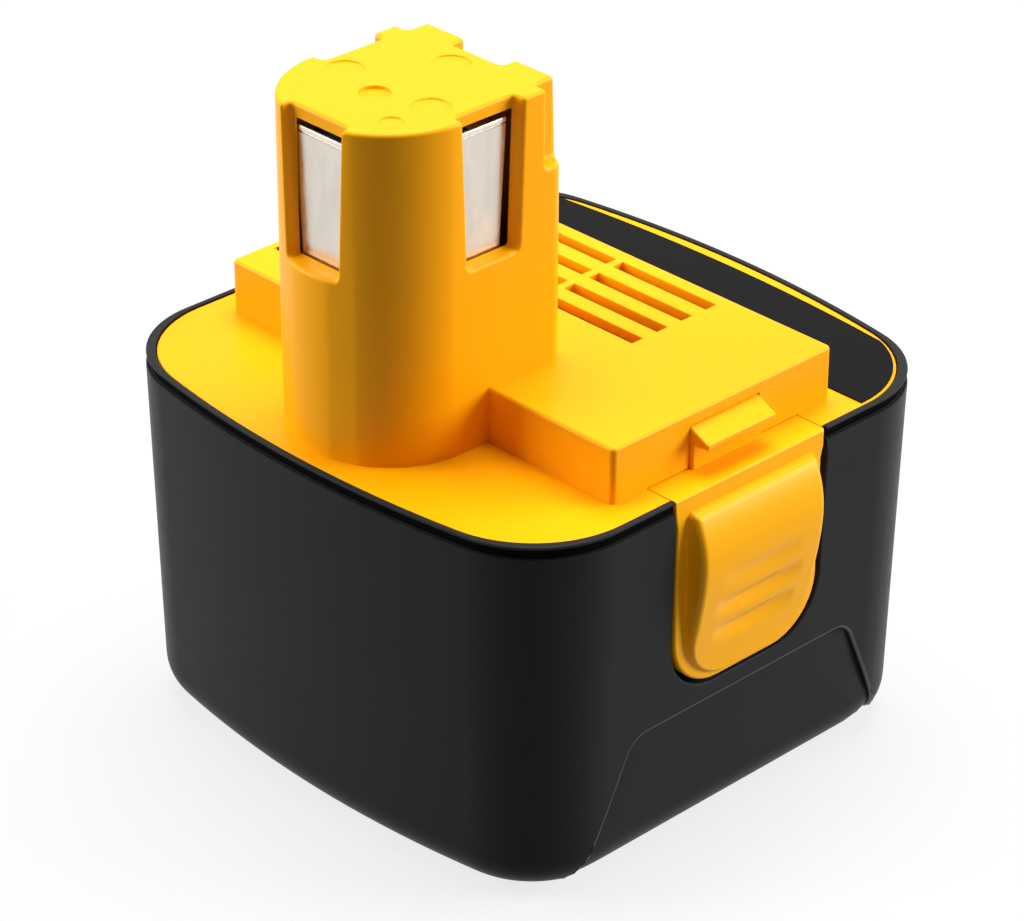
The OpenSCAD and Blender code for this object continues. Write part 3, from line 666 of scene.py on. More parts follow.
@dataclass(frozen=True)
class LowerCase:
    """The black case: drafted walls, round base, beaded rim, latch cut-outs and side panels.

    A pair holds values from front to rear, from below to above, or from the middle outwards.
    """

    outline: CaseOutline = CaseOutline()
    draft: float = math.tan(math.radians(1.2))
    base_round: float = 6.4
    base_steps: int = 10
    wall: float = 2.6
    floor: float = 2.5
    inner_round: float = 4.0
    rim: float = 57.2
    rim_steps: int = 3
    bead_width: float = 1.0
    bead_height: float = 0.45
    bead_inset: float = 0.1
    bead_round: float = 0.22
    bead_inner_round: float = 0.16
    groove_height: float = 1.25
    groove_depth: float = 0.6
    groove_round: float = 0.12
    groove_margin: float = 0.05
    undercut: float = 0.45
    lip_round: float = 0.25
    ledge_drop: float = 2.0
    ledge_round: float = 0.15
    cut_span: Point2 = (-14.65, 15.35)
    cut_mouth: Point2 = (-15.0, 15.15)
    cut_foot: float = 24.75
    cut_round: float = 9.1
    cut_steps: int = 14
    cut_flare: Point2 = (52.6, 54.8)
    cut_top: float = 70.0
    cut_back: float = 38.6
    cut_edge: float = 0.35
    cut_zone_half: float = 20.0
    cut_zone_top: float = 54.0
    panel_height: float = 21.8
    panel_top: float = 21.2
    panel_foot: float = 31.3
    panel_depth: float = 0.7
    panel_round: float = 2.3
    panel_steps: int = 9
    panel_points: int = 25
    panel_rear: float = 1.0
    panel_edge: float = 0.45
    panel_zone_half: float = 34.0
    panel_zone_foot: float = 0.6
    edge_sharp: float = 40.0
    wall_slack: float = 0.12
    spring_wall: Point2 = (33.8, 35.7)
    spring_wall_half: float = 12.0
    spring_wall_top: float = 54.5
    spring_wall_sunk: float = 0.2
    peg_radius: float = 2.2
    peg_length: float = 1.4
    web: float = 1.6
    web_top: float = 22.4
    web_gap: float = 2.4
    sunk: float = 0.5
    well_radius: float = 2.9
    well_depth: float = 5.0
    boss_wall: float = 1.0
    boss_height: float = 3.0
    hole_radius: float = 1.7

    @property
    def groove_foot(self) -> float:
        """Height of the wall's lip below the rim's shadow groove."""
        return self.rim - self.bead_height - self.groove_height

    @property
    def ledge(self) -> float:
        """Height of the ledge inside the rim that carries the cover."""
        return DECK - self.ledge_drop

    def set_back(self, z: float) -> float:
        """Gives how far the drafted wall stands back at a height."""
        return (DECK - z) * self.draft

    def base_edge(self, z: float) -> float:
        """Gives how far the rounded base edge stands back from the wall.

        Args:
            z: Height above the bottom face.

        Returns:
            The distance, 0 above the rounding.
        """
        if z >= self.base_round:
            return 0.0
        return self.base_round - math.sqrt(self.base_round**2 - (self.base_round - z) ** 2)

    def profile(self) -> list[Point2]:
        """Draws the wall's section, up the outside, over the rim and down the inside.

        Returns:
            The section's points as (inset, height).
        """
        turns = spread(0.0, QUARTER, self.base_steps + 1)
        heights = [self.base_round * (1 - math.cos(t)) for t in turns]
        outside = [(self.set_back(self.base_round) + self.base_edge(z), z) for z in heights]
        start, lip, bead = self.base_round + 1, self.groove_foot, self.groove_foot + self.groove_height
        foot, soft = self.wall + self.set_back(self.floor), self.inner_round
        rim = rounded(
            [
                (self.set_back(start), start, 0.0),
                (self.set_back(lip), lip, self.lip_round),
                (self.groove_depth, lip - self.undercut, self.groove_round),
                (self.groove_depth, bead, self.groove_round),
                (self.bead_inset, bead, self.groove_round),
                (self.bead_inset, self.rim, self.bead_round),
                (self.bead_width, self.rim, self.bead_inner_round),
                (self.bead_width, self.ledge, 0.0),
                (self.wall, self.ledge, self.ledge_round),
                (foot, self.floor + soft, 0.0),
            ],
            self.rim_steps,
        )
        inside = [
            (foot + soft * (1 - math.sin(t)), self.floor + soft * (1 - math.cos(t)))
            for t in reversed(turns[1:-1])
        ]
        return outside + rim + inside + [(foot + soft, self.floor)]

    def ring(self, inset: float, z: float) -> list[Point3]:
        """Gives the ring of points at a place of the wall's section, rounder inside the rim."""
        inside_rim = inset > self.groove_depth + 2 * TOUCH and z > self.ledge - 10 * TOUCH
        return level((RIM_OUTLINE if inside_rim else self.outline).points(inset), z)

    def panel_cutter(self) -> Piece:
        """Makes the solid that cuts the right side's panel, following the wall and the round base.

        Returns:
            The cutter.
        """
        slope = (self.panel_foot - self.panel_top) / self.panel_height
        turns = spread(0.0, QUARTER, self.panel_steps)
        start = self.panel_height - self.panel_round
        heights = [-SUNK] + [self.base_round * (1 - math.cos(t)) for t in turns]
        heights += [start + self.panel_round * math.sin(t) for t in turns]
        rings = []
        for z in heights:
            lift = max(0.0, z - start)
            drawn = self.panel_round - math.sqrt(max(0.0, self.panel_round**2 - lift**2))
            front = self.panel_foot - slope * z - drawn
            rear = front + self.panel_rear
            inset = self.panel_depth + self.set_back(z) + self.base_edge(max(z, 0.0))
            inner = [(self.outline.side(y, inset), y, z) for y in spread(rear, -front, self.panel_points)]
            rings.append([(OUTSIDE, -front, z), (OUTSIDE, rear, z)] + inner)
        return Bench.skin("panel_cutter", rings)

    def latch_cutter(self) -> Piece:
        """Makes the solid that cuts the opening for the right latch, flared at its mouth.

        Returns:
            The cutter.
        """
        (front, rear), (mouth_front, mouth_rear) = self.cut_span, self.cut_mouth
        low, high = self.cut_flare
        opening = [
            (front, self.cut_foot, self.cut_round),
            (rear, self.cut_foot, self.cut_round),
            (rear, low, 0.0),
            (mouth_rear, high, 0.0),
            (mouth_rear, self.cut_top, 0.0),
            (mouth_front, self.cut_top, 0.0),
            (mouth_front, high, 0.0),
            (front, low, 0.0),
        ]
        outline = rounded(opening, self.cut_steps)
        return Bench.prism("latch_cutter", outline, self.cut_back, OUTSIDE, Axis.X)

    def build(self) -> Piece:
        """Models the case and dresses it.

        Returns:
            The case.
        """
        case = Bench.skin("case_shell", [self.ring(inset, z) for inset, z in self.profile()])
        self.dress_and_paint_groove_shade(case)
        Bench.both_sides(case, self.latch_cutter(), Join.CUT)
        Bench.both_sides(case, self.panel_cutter(), Join.CUT)
        Bench.tidy(case, 4 * MERGE)
        # The panel edges' bevel takes slot 1, the glossier, darker copy of the case plastic, which paints a
        # highlight line and shade on them
        Bench.bevel(case, self.panel_edge, self.on_panel_edge, self.edge_sharp, segments=4, slot=1)
        Bench.bevel(case, self.cut_edge, self.on_cut_edge, self.edge_sharp)
        self.add_insides(case)
        Bench.tidy(case, 2 * MERGE)
        return Bench.finish(case, "pack", "lower_case", "case_plastic", CASE_BLACK)

    def dress_and_paint_groove_shade(self, case: Piece) -> None:
        """Gives the case its finishes, and paints shade into the rim's shadow groove with a near-black
        finish.

        Args:
            case: The case's shell, before it is cut.
        """
        # Slot 1 paints highlight and shade on the panel edges; slot 2 paints shade into the rim's groove
        finishes = (CASE_BLACK, CASE_EDGE_PAINTED_HIGHLIGHT_SHADE, CASE_GROOVE_PAINTED_SHADE)
        for finish in finishes:
            case.data.materials.append(finish.material())
        # Outward faces within the groove's height take the near-black finish: painted shade
        low = self.groove_foot + self.groove_margin
        high = low + self.groove_height - 2 * self.groove_margin
        for polygon in case.data.polygons:
            middle = polygon.center
            outwards = polygon.normal.x * middle.x + polygon.normal.y * middle.y > 0
            if outwards and low < middle.z < high:
                polygon.material_index = finishes.index(CASE_GROOVE_PAINTED_SHADE)

    def add_insides(self, case: Piece) -> None:
        """Adds the spring walls and the screw bosses inside, and cuts the screw wells from below.

        Args:
            case: The case's shell.
        """
        back, front = self.spring_wall
        half, root = self.spring_wall_half, front - self.sunk
        start = (back, -half, self.floor - self.spring_wall_sunk)
        wall = Bench.box("spring_wall", start, (front, half, self.spring_wall_top))
        peg = circle(0, SPRING_HEIGHT, self.peg_radius, COARSE)
        Bench.join(wall, Bench.prism("peg", peg, root, front + self.peg_length, Axis.X), Join.ADD)
        for y in (-half, half - self.web):
            end = (self.outline.width / 2 - self.web_gap, y + self.web, self.web_top)
            Bench.join(wall, Bench.box("web", (root, y, self.base_round), end), Join.ADD)
        Bench.both_sides(case, wall, Join.ADD)
        boss = self.well_radius + self.boss_wall
        rounds = (
            ("boss", boss, FINE, self.floor - self.sunk, self.boss_height, Join.ADD),
            ("well_cutter", self.well_radius, FINE, -SUNK, 0.0, Join.CUT),
            ("hole_cutter", self.hole_radius, MEDIUM, SUNK, self.boss_height + 2 * SUNK, Join.CUT),
        )
        for sx, sy in SQUARE:
            for name, radius, steps, low, past, how in rounds:
                outline = circle(sx * SCREW_X, sy * SCREW_Y, radius, steps)
                Bench.join(case, Bench.prism(name, outline, low, self.well_depth + past), how)

    def on_wall(self, middle: Vector) -> bool:
        """Tells whether a place lies on the case's outer side wall."""
        wall = self.outline.side(middle.y, self.set_back(middle.z) + self.base_edge(middle.z))
        return abs(abs(middle.x) - wall) < self.wall_slack

    def on_cut_edge(self, middle: Vector) -> bool:
        """Picks the outer edges of the latch cut-outs."""
        inside = self.panel_height + 1 < middle.z < self.cut_zone_top and abs(middle.y) < self.cut_zone_half
        return inside and self.on_wall(middle)

    def on_panel_edge(self, middle: Vector) -> bool:
        """Picks the outer edges of the side panels."""
        inside = self.panel_zone_foot < middle.z < self.panel_height + 1
        return inside and abs(middle.y) < self.panel_zone_half and self.on_wall(middle)


@dataclass(frozen=True)
class TopCover:
    """The yellow cover: deck, vented block and contact tower in one moulding.

    The tower's sizes are taken from its axis. A pair or a triple holds values from the middle outwards,
    then upwards.
    """

    outline: CaseOutline = CaseOutline()
    deck_thick: float = 2.0
    deck_inset: float = 1.15
    deck_round: float = 0.2
    deck_steps: int = 4
    block_x: float = 39.0
    block_y: float = 21.6
    block_round: float = 0.9
    block_steps: int = 6
    block_edge: float = 0.55
    block_wall: float = 2.0
    block_roof: float = 1.5
    tower_y: float = -26.0
    tower_radius: float = 14.9
    tower_rear: float = 19.0
    tower_round: float = 2.4
    tower_top: float = 106.6
    tower_wall: float = 2.0
    tower_edge: float = 0.65
    cap: float = 2.0
    key_half: float = 12.5
    key_start: float = 15.2
    key_height: float = 11.8
    groove_half: float = 4.95
    groove_depth: float = 2.6
    side_flat: float = 12.8
    side_half: float = 4.65
    front_flat: float = 12.0
    front_half: float = 5.0
    front_bore: float = 12.1
    flare: float = 0.8
    facets: tuple[int, int] = (5, 21)
    facet_gaps: Point2 = (0.9, 1.3)
    side_start: Point2 = (1.7, 2.3)
    tower_steps: int = 8
    ring_gap: float = 1.6
    window_reach: float = 8.0
    waist_room: float = 0.2
    hollow_points: int = 49
    past: float = 5.0
    vent_rows: int = 4
    vent_pitch: float = 4.95
    vent_edge: float = 3.7
    vent_width: float = 2.1
    vent_length: float = 18.5
    vent_rib: float = 1.4
    vent_flare: float = 0.22
    vent_bend: float = 0.3
    vent_past: Point2 = (1.0, 0.6)
    vent_reach: float = 4.0
    skirt_drop: float = 3.5
    skirt_inset: float = 2.9
    skirt_wall: float = 1.4
    skirt_sunk: float = 0.4
    pillar_foot: float = 8.0
    pillar_radius: float = 3.0
    pilot_radius: float = 1.55
    pilot_end: float = 22.0
    ledge_room: Point3 = (36.0, 15.0, 0.15)
    skirt_room: Point2 = (33.8, 18.2)
    hook_room: Point3 = (36.0, 6.9, 63.66)
    tag_gap: float = 0.1
    mark_draft: float = 0.06
    mark_foot: float = 0.1
    mark_past: Point2 = (0.4, 0.3)
    marks: tuple[tuple[float, float, float, float], ...] = (
        (-8.5, 0.0, 2.9, 0.2),
        (8.5, 0.0, 2.9, 0.2),
        (0.0, 11.6, 2.9, 0.2),
        (0.0, -2.2, 2.2, 0.45),
        (8.5, -7.0, 1.8, 0.2),
    )

    @property
    def underside(self) -> float:
        """Height of the deck's underside."""
        return DECK - self.deck_thick

    def deck_plate(self) -> Piece:
        """Makes the deck with a softened upper edge.

        Returns:
            The deck, which the rest of the cover is joined to.
        """
        inset, soft = self.deck_inset, self.deck_round
        section = [(inset, self.underside), (inset, DECK - soft)]
        section += [
            (inset + soft * (1 - math.cos(t)), DECK - soft * (1 - math.sin(t)))
            for t in spread(0.0, QUARTER, self.deck_steps)[1:]
        ]
        return Bench.skin("cover_shell", [level(RIM_OUTLINE.points(i), z) for i, z in section])

    def block(self) -> Piece:
        """Makes the solid block with round upright edges and softened top edges.

        Returns:
            The block.
        """
        corners = [(sx * self.block_x, sy * self.block_y, self.block_round) for sx, sy in SQUARE]
        block = Bench.prism("block", rounded(corners, self.block_steps), DECK - SUNK, BLOCK_TOP)
        Bench.bevel(block, self.block_edge, lambda middle: middle.z > BLOCK_TOP - TOUCH, segments=4)
        return block

    def tower_outline(self) -> list[Point2]:
        """Gives the tower's outline, with wide facets where the windows' edges run.

        Returns:
            The outline's points, counter-clockwise from the front.
        """
        radius, rear, soft = self.tower_radius, self.tower_rear, self.tower_round
        under, beside = self.facet_gaps
        end, start = self.side_start
        few, many = self.facets
        turns = spread(0.0, math.asin((self.front_half - under) / radius), few)
        first = math.asin((self.front_half + self.flare + beside) / radius)
        turns += spread(first, math.acos(end / radius), many)
        half = [(radius * math.sin(t), -radius * math.cos(t)) for t in turns] + [(radius, start)]
        back = [(radius, start, 0), (radius, rear, soft), (-radius, rear, soft), (-radius, start, 0)]
        back_outline = rounded(back, self.tower_steps)[1:-1]
        outline = half + back_outline + [(-x, y) for x, y in reversed(half[1:])]
        return [(x, y + self.tower_y) for x, y in outline]

    def tower(self) -> Piece:
        """Makes the solid tower with its windows, keyed corners and rear groove, all edges softened.

        Returns:
            The tower.
        """
        rear, top = self.tower_y + self.tower_rear, self.tower_top
        foot, key_foot = DECK - SUNK, top - self.key_height
        heights = (foot, SILL - self.ring_gap, key_foot - self.ring_gap, top)
        outline = self.tower_outline()
        tower = Bench.skin("tower", [level(outline, z) for z in heights])
        groove = Bench.box(
            "groove_cutter",
            (-self.groove_half, rear - self.groove_depth, foot - SUNK),
            (self.groove_half, rear + self.past, top + self.past),
        )
        Bench.join(tower, groove, Join.CUT)
        key = Bench.box(
            "key_cutter",
            (self.key_half, self.tower_y + self.key_start, key_foot),
            (self.tower_radius + self.past, rear + self.past, top + self.past),
        )
        Bench.both_sides(tower, key, Join.CUT)
        side = self.window(
            self.side_flat, self.side_half, lambda out, across: (out, SIDE_WINDOW_Y + across)
        )
        Bench.both_sides(tower, side, Join.CUT)
        front = self.window(
            self.front_flat, self.front_half, lambda out, across: (across, self.tower_y - out)
        )
        Bench.join(tower, front, Join.CUT)
        Bench.tidy(tower, 4 * MERGE)
        Bench.bevel(tower, self.tower_edge, lambda middle: middle.z > foot + 10 * TOUCH)
        return tower

    def window(self, flat: float, half: float, at: Callable[[float, float], Point2]) -> Piece:
        """Makes the solid that opens a window above its flat sill, wider at the cap.

        Args:
            flat: Distance of the window's flat from the tower's axis.
            half: Half width at the sill.
            at: Gives the place for a distance outwards and a place across.

        Returns:
            The cutter.
        """
        top = self.tower_top + self.past
        wide = half + self.flare * (top - SILL) / (self.tower_top - SILL)
        far = flat + self.window_reach
        rings = []
        for z, reach in ((SILL, half), (top, wide)):
            corners = ((flat, -reach), (far, -reach), (far, reach), (flat, reach))
            rings.append(level([at(out, across) for out, across in corners], z))
        return Bench.skin("window_cutter", rings)

    def hollow(self) -> Piece:
        """Makes the solid that hollows the tower for its cell and contacts.

        Returns:
            The cutter.
        """
        wall = self.tower_wall
        bore, shoulder, rear = self.tower_radius - wall, self.key_start - wall, self.tower_rear - wall
        waist, step = self.key_half - wall + self.waist_room, self.groove_half + wall
        half = [
            (bore, shoulder),
            (waist, shoulder),
            (waist, rear),
            (step, rear),
            (step, self.tower_rear - self.groove_depth - wall),
        ]
        front = [
            (bore * math.cos(t), max(bore * math.sin(t), -self.front_bore))
            for t in spread(-math.pi, 0.0, self.hollow_points)
        ]
        outline = front + half + [(-x, y) for x, y in reversed(half)]
        placed = [(x, y + self.tower_y) for x, y in outline]
        return Bench.prism("hollow_cutter", placed, BELOW_COVER, self.tower_top - self.cap)

    def add_skirt(self, cover: Piece) -> None:
        """Adds the skirt that centres the cover in the case, and the pillars that take the screws.

        Args:
            cover: The deck.
        """
        low, high = self.underside - self.skirt_drop, self.underside + self.skirt_sunk
        skirt = Bench.prism("skirt", self.outline.points(self.skirt_inset), low, high)
        inner = self.outline.points(self.skirt_inset + self.skirt_wall)
        cutter = Bench.prism("skirt_cutter", inner, low - SUNK, self.underside)
        Bench.join(skirt, cutter, Join.CUT)
        Bench.join(cover, skirt, Join.ADD)
        for sx, sy in SQUARE:
            place = (sx * SCREW_X, sy * SCREW_Y)
            outer = circle(*place, self.pillar_radius, MEDIUM)
            bore = circle(*place, self.pilot_radius, COARSE)
            pillar = Bench.prism("pillar", outer, self.pillar_foot, high)
            pilot = Bench.prism("pilot_cutter", bore, 0, self.pilot_end)
            Bench.join(pillar, pilot, Join.CUT)
            Bench.join(cover, pillar, Join.ADD)

    def cut_rooms(self, cover: Piece) -> None:
        """Hollows the block and the tower, and cuts the room for the latches' ledges and hooks.

        Args:
            cover: The cover, still solid.
        """
        x, y = self.block_x - self.block_wall, self.block_y - self.block_wall
        room = Bench.box("room_cutter", (-x, -y, BELOW_COVER), (x, y, BLOCK_TOP - self.block_roof))
        Bench.join(cover, room, Join.CUT)
        Bench.join(cover, self.hollow(), Join.CUT)
        ledge_back, ledge_half, ledge_gap = self.ledge_room
        hook_back, hook_half, hook_top = self.hook_room
        rooms = (
            ("ledge_cutter", ledge_back, ledge_half, BELOW_COVER, DECK + ledge_gap),
            ("skirt_cutter", *self.skirt_room, BELOW_COVER, self.underside),
            ("hook_cutter", hook_back, hook_half, DECK - SUNK, hook_top),
        )
        for name, back, half, low, high in rooms:
            Bench.both_sides(cover, Bench.box(name, (back, -half, low), (OUTSIDE, half, high)), Join.CUT)

    def vent(self, x: float, y: float) -> Piece:
        """Makes the solid that cuts one vent slot, flared at the top.

        Args:
            x: Middle of the slot across the pack.
            y: Middle of the slot from front to rear.

        Returns:
            The cutter.
        """
        top, soft, bend = BLOCK_TOP, self.vent_flare, self.vent_flare * self.vent_bend
        out, up = self.vent_past
        section = (
            (0.0, top - self.vent_reach),
            (0.0, top - soft),
            (bend, top - bend),
            (soft, top),
            (soft + out, top + up),
        )
        rings = []
        for grow, z in section:
            half_x, half_y = self.vent_length / 2 + grow, self.vent_width / 2 + grow
            rings.append([(x + sx * half_x, y + sy * half_y, z) for sx, sy in SQUARE])
        return Bench.skin("vent_cutter", rings)

    def mark(self, x: float, y: float, radius: float, depth: float) -> Piece:
        """Makes the solid that cuts one round moulding mark in the cap.

        Args:
            x: Middle of the mark across the pack.
            y: Middle of the mark from the tower's axis to the rear.
            radius: Radius of the mark.
            depth: Depth of the mark.

        Returns:
            The cutter.
        """
        foot, top, draft = self.tower_top - depth, self.tower_top, self.mark_draft
        out, up = self.mark_past
        section = ((-draft, foot), (0.0, foot + self.mark_foot), (draft, top), (out, top + up))
        rings = [level(circle(x, y + self.tower_y, radius + grow, FINE), z) for grow, z in section]
        return Bench.skin("mark_cutter", rings)

    def build(self) -> Piece:
        """Models the cover and dresses it.

        Returns:
            The cover.
        """
        cover = self.deck_plate()
        self.add_skirt(cover)
        Bench.join(cover, self.block(), Join.ADD)
        Bench.join(cover, self.tower(), Join.ADD)
        self.cut_rooms(cover)
        for row in range(self.vent_rows):
            y = self.block_y - self.vent_edge - row * self.vent_pitch
            Bench.both_sides(cover, self.vent((self.vent_rib + self.vent_length) / 2, y), Join.CUT)
        for mark in self.marks:
            Bench.join(cover, self.mark(*mark), Join.CUT)
        half_x, half_y = (half + self.tag_gap for half in TAG_HALF)
        low = (TAG_X - half_x, -half_y, BLOCK_TOP - LABEL_THICK)
        high = (TAG_X + half_x, half_y, self.tower_top)
        Bench.join(cover, Bench.box("tag_cutter", low, high), Join.CUT)
        Bench.tidy(cover, 2 * MERGE)
        return Bench.finish(cover, "pack", "top_cover", "cover_plastic", COVER_YELLOW)


@dataclass(frozen=True)
class Latch:
    """One sprung latch: plate, ledge, hook and thumb pad in one moulding, modelled on the right side.

    Each grip groove is its height, its half length and its depth, and the grip's slopes are those above and
    below a groove. The hook's section is x, z and radius. The other pairs hold values from the middle
    outwards, or from the foot and from the top.
    """

    side: Side
    half: float = 14.35
    foot: float = 25.65
    foot_round: float = 8.8
    foot_steps: int = 14
    plate: Point2 = (41.0, 44.3)
    plate_edge: float = 0.4
    ledge_half: float = 14.8
    ledge_flare: Point2 = (52.6, 54.6)
    ledge_inner: float = 33.8
    ledge_thick: float = 2.2
    flange: Point2 = (39.8, 41.1)
    flange_half: float = 16.4
    flange_span: Point2 = (30.4, 50.4)
    hook_half: float = 6.8
    hook_edge: float = 0.3
    hook_edge_start: float = 0.5
    hook_steps: int = 4
    hook_section: tuple[Point3, ...] = (
        (36.6, 56.0, 0.0),
        (39.7, 56.0, 0.0),
        (39.7, 60.7, 0.3),
        (42.3, 60.9, 0.25),
        (42.4, 61.75, 0.35),
        (38.4, 63.6, 0.5),
        (36.6, 63.6, 0.2),
    )
    pocket_radius: float = 3.3
    pocket: Point2 = (39.0, 42.6)
    pad_half: float = 12.4
    pad_top: float = 54.4
    pad_foot: float = 26.3
    pad_round: float = 8.4
    pad_top_round: float = 0.9
    pad_least_round: float = 0.05
    pad_sunk: float = 1.5
    pad_counts: tuple[int, int, int, int] = (16, 25, 84, 9)
    pad_rows: int = 30
    spine_ends: Point2 = (10.0, 6.0)
    crown: float = 3.2
    crown_z: float = 46.5
    step: float = 1.1
    lip: float = 0.5
    pad_edge: float = 0.95
    pad_edge_steps: int = 16
    pad_edge_past: float = 0.25
    pad_edge_share: float = 0.6
    pad_base: float = 0.12
    pad_base_share: float = 0.3
    pad_base_sunk: float = 0.05
    pad_draft: float = 0.2
    grip: tuple[Point3, ...] = ((33.6, 8.2, 0.70), (38.3, 8.6, 0.78), (42.9, 7.6, 0.36))
    grip_slopes: Point2 = (1.9, 2.6)
    grip_sag: float = 0.5

    def rise(self, z: float) -> float:
        """Gives the pad's height above the plate along its middle line.

        Args:
            z: Height above the bottom face.

        Returns:
            The height: an S-curve up to the crown and an arc from there to the top.
        """
        if z < self.crown_z:
            share = (z - self.pad_foot) / (self.crown_z - self.pad_foot)
            return self.lip + (self.crown - self.lip) * ease(share)
        drop, span = self.crown - self.step, self.pad_top - self.crown_z
        radius = (span**2 + drop**2) / (2 * drop)
        return self.crown - radius + math.sqrt(radius**2 - (z - self.crown_z) ** 2)

    def pad_steps(self) -> list[float]:
        """Gives the insets of the pad's rings from its foot, up its flank and over its round edge.

        Returns:
            The insets, negative outside the pad's outline.
        """
        foot = [-self.pad_base, -self.pad_base / 2, 0.0, self.pad_draft / 2]
        turns = spread(0.0, QUARTER, self.pad_edge_steps)
        edge = [self.pad_draft + self.pad_edge * (1 - math.cos(t)) for t in turns]
        return foot + edge + [edge[-1] + self.pad_edge_past]

    def pad_ring(self, inset: float) -> list[Point2]:
        """Gives the pad's outline as (y, z), drawn in by an inset, with the same points for every inset.

        Args:
            inset: Distance inwards from the outline, negative outwards.

        Returns:
            The ring, symmetrical about the middle.
        """
        half, low, high = self.pad_half - inset, self.pad_foot + inset, self.pad_top - inset
        foot, top = self.pad_round - inset, max(self.pad_least_round, self.pad_top_round - inset)
        across, foot_count, up, top_count = self.pad_counts
        right = [(y, low) for y in spread(0.0, half - foot, across)]
        right += [
            (half - foot + foot * math.sin(t), low + foot - foot * math.cos(t))
            for t in spread(0.0, QUARTER, foot_count)[1:]
        ]
        right += [(half, z) for z in spread(low + foot, high - top, up)[1:]]
        right += [
            (half - top + top * math.cos(t), high - top + top * math.sin(t))
            for t in spread(0.0, QUARTER, top_count)[1:]
        ]
        right += [(y, high) for y in spread(half - top, 0.0, across)[1:]]
        return right + [(-y, z) for y, z in reversed(right[1:-1])]

    def surface(self, y: float, z: float, inset: float) -> float:
        """Gives the pad's height above the plate, with round edges and grip grooves.

        Args:
            y: Place across.
            z: Height.
            inset: Distance inside the outline, negative outside it.

        Returns:
            The height above the plate.
        """
        height = self.rise(min(max(z, self.pad_foot), self.pad_top))
        base = min(self.pad_base, self.pad_base_share * height)
        if inset < 0:
            reach = min(1.0, -inset / self.pad_base)
            return base * (1 - math.sqrt(1 - (1 - reach) ** 2)) - self.pad_base_sunk * reach
        soft = min(self.pad_edge, self.pad_edge_share * height)
        if inset < self.pad_draft:
            return base + (height - soft - base) * inset / self.pad_draft
        inside = min(inset - self.pad_draft, soft)
        height -= soft - math.sqrt(soft**2 - (soft - inside) ** 2)
        for groove, reach, depth in self.grip:
            across = (y / reach) ** 2
            above = z - groove - self.grip_sag * across
            share = 1 - abs(above) / self.grip_slopes[0 if above > 0 else 1]
            if across < 1 and share > 0:
                height -= depth * (1 - across) * ease(share)
        return height

    def pad(self) -> Piece:
        """Makes the thumb pad from rings that follow its outline, closed inside the plate.

        Returns:
            The pad.
        """
        front = self.plate[1]
        steps = self.pad_steps()
        rings = [[(front - self.pad_sunk, y, z) for y, z in self.pad_ring(steps[0])]]
        for inset in steps:
            rings.append([(front + self.surface(y, z, inset), y, z) for y, z in self.pad_ring(inset)])
        last = self.pad_ring(steps[-1])
        low, high = self.pad_foot + self.spine_ends[0], self.pad_top - self.spine_ends[1]
        for share in spread(0.0, 1.0, self.pad_rows)[1:]:
            places = [(y * (1 - share), z + (min(max(z, low), high) - z) * share) for y, z in last]
            rings.append([(front + self.surface(y, z, self.pad_half), y, z) for y, z in places])
        pad = Bench.skin("pad", rings)
        Bench.tidy(pad, 10 * FINE_MERGE)
        return pad

    def hook(self) -> Piece:
        """Makes the hook with softened edges.

        Returns:
            The hook.
        """
        outline = rounded(self.hook_section, self.hook_steps)
        hook = Bench.prism("hook", outline, -self.hook_half, self.hook_half, Axis.Y)
        end, foot = self.hook_half - TOUCH, DECK + self.hook_edge_start
        Bench.bevel(hook, self.hook_edge, lambda middle: abs(middle.y) > end and middle.z > foot)
        return hook

    def plate_and_ledge(self) -> Piece:
        """Makes the plate, flared up to its ledge, with softened front edges.

        Returns:
            The plate with its ledge.
        """
        back, front = self.plate
        low, high = self.ledge_flare
        corners = [(-self.half, self.foot, self.foot_round), (self.half, self.foot, self.foot_round)]
        right = [(self.half, low, 0.0), (self.ledge_half, high, 0.0), (self.ledge_half, DECK, 0.0)]
        corners += right + [(-y, z, radius) for y, z, radius in reversed(right)]
        outline = rounded(corners, self.foot_steps)
        plate = Bench.prism("latch_" + self.side.word + "_moulding", outline, back, front, Axis.X)
        ledge = Bench.box(
            "ledge",
            (self.ledge_inner, -self.ledge_half, DECK - self.ledge_thick),
            (back + SUNK, self.ledge_half, DECK),
        )
        Bench.join(plate, ledge, Join.ADD)
        Bench.tidy(plate, 2 * MERGE)
        Bench.bevel(plate, self.plate_edge, lambda middle: middle.x > front - TOUCH)
        return plate

    def build(self) -> Piece:
        """Models the latch and dresses it.

        Returns:
            The latch.
        """
        latch = self.plate_and_ledge()
        (back, front), (low, high) = self.flange, self.flange_span
        flange = Bench.box("flange", (back, -self.flange_half, low), (front, self.flange_half, high))
        for other in (flange, self.hook(), self.pad()):
            Bench.join(latch, other, Join.ADD)
        ring = circle(0, SPRING_HEIGHT, self.pocket_radius, FINE)
        Bench.join(latch, Bench.prism("pocket_cutter", ring, *self.pocket, Axis.X), Join.CUT)
        Bench.resize(latch, (self.side.value, 1, 1))
        Bench.tidy(latch)
        word = self.side.word
        return Bench.finish(latch, word + "_latch", "latch_" + word, "latch_plastic", LATCH_YELLOW, 40.0)


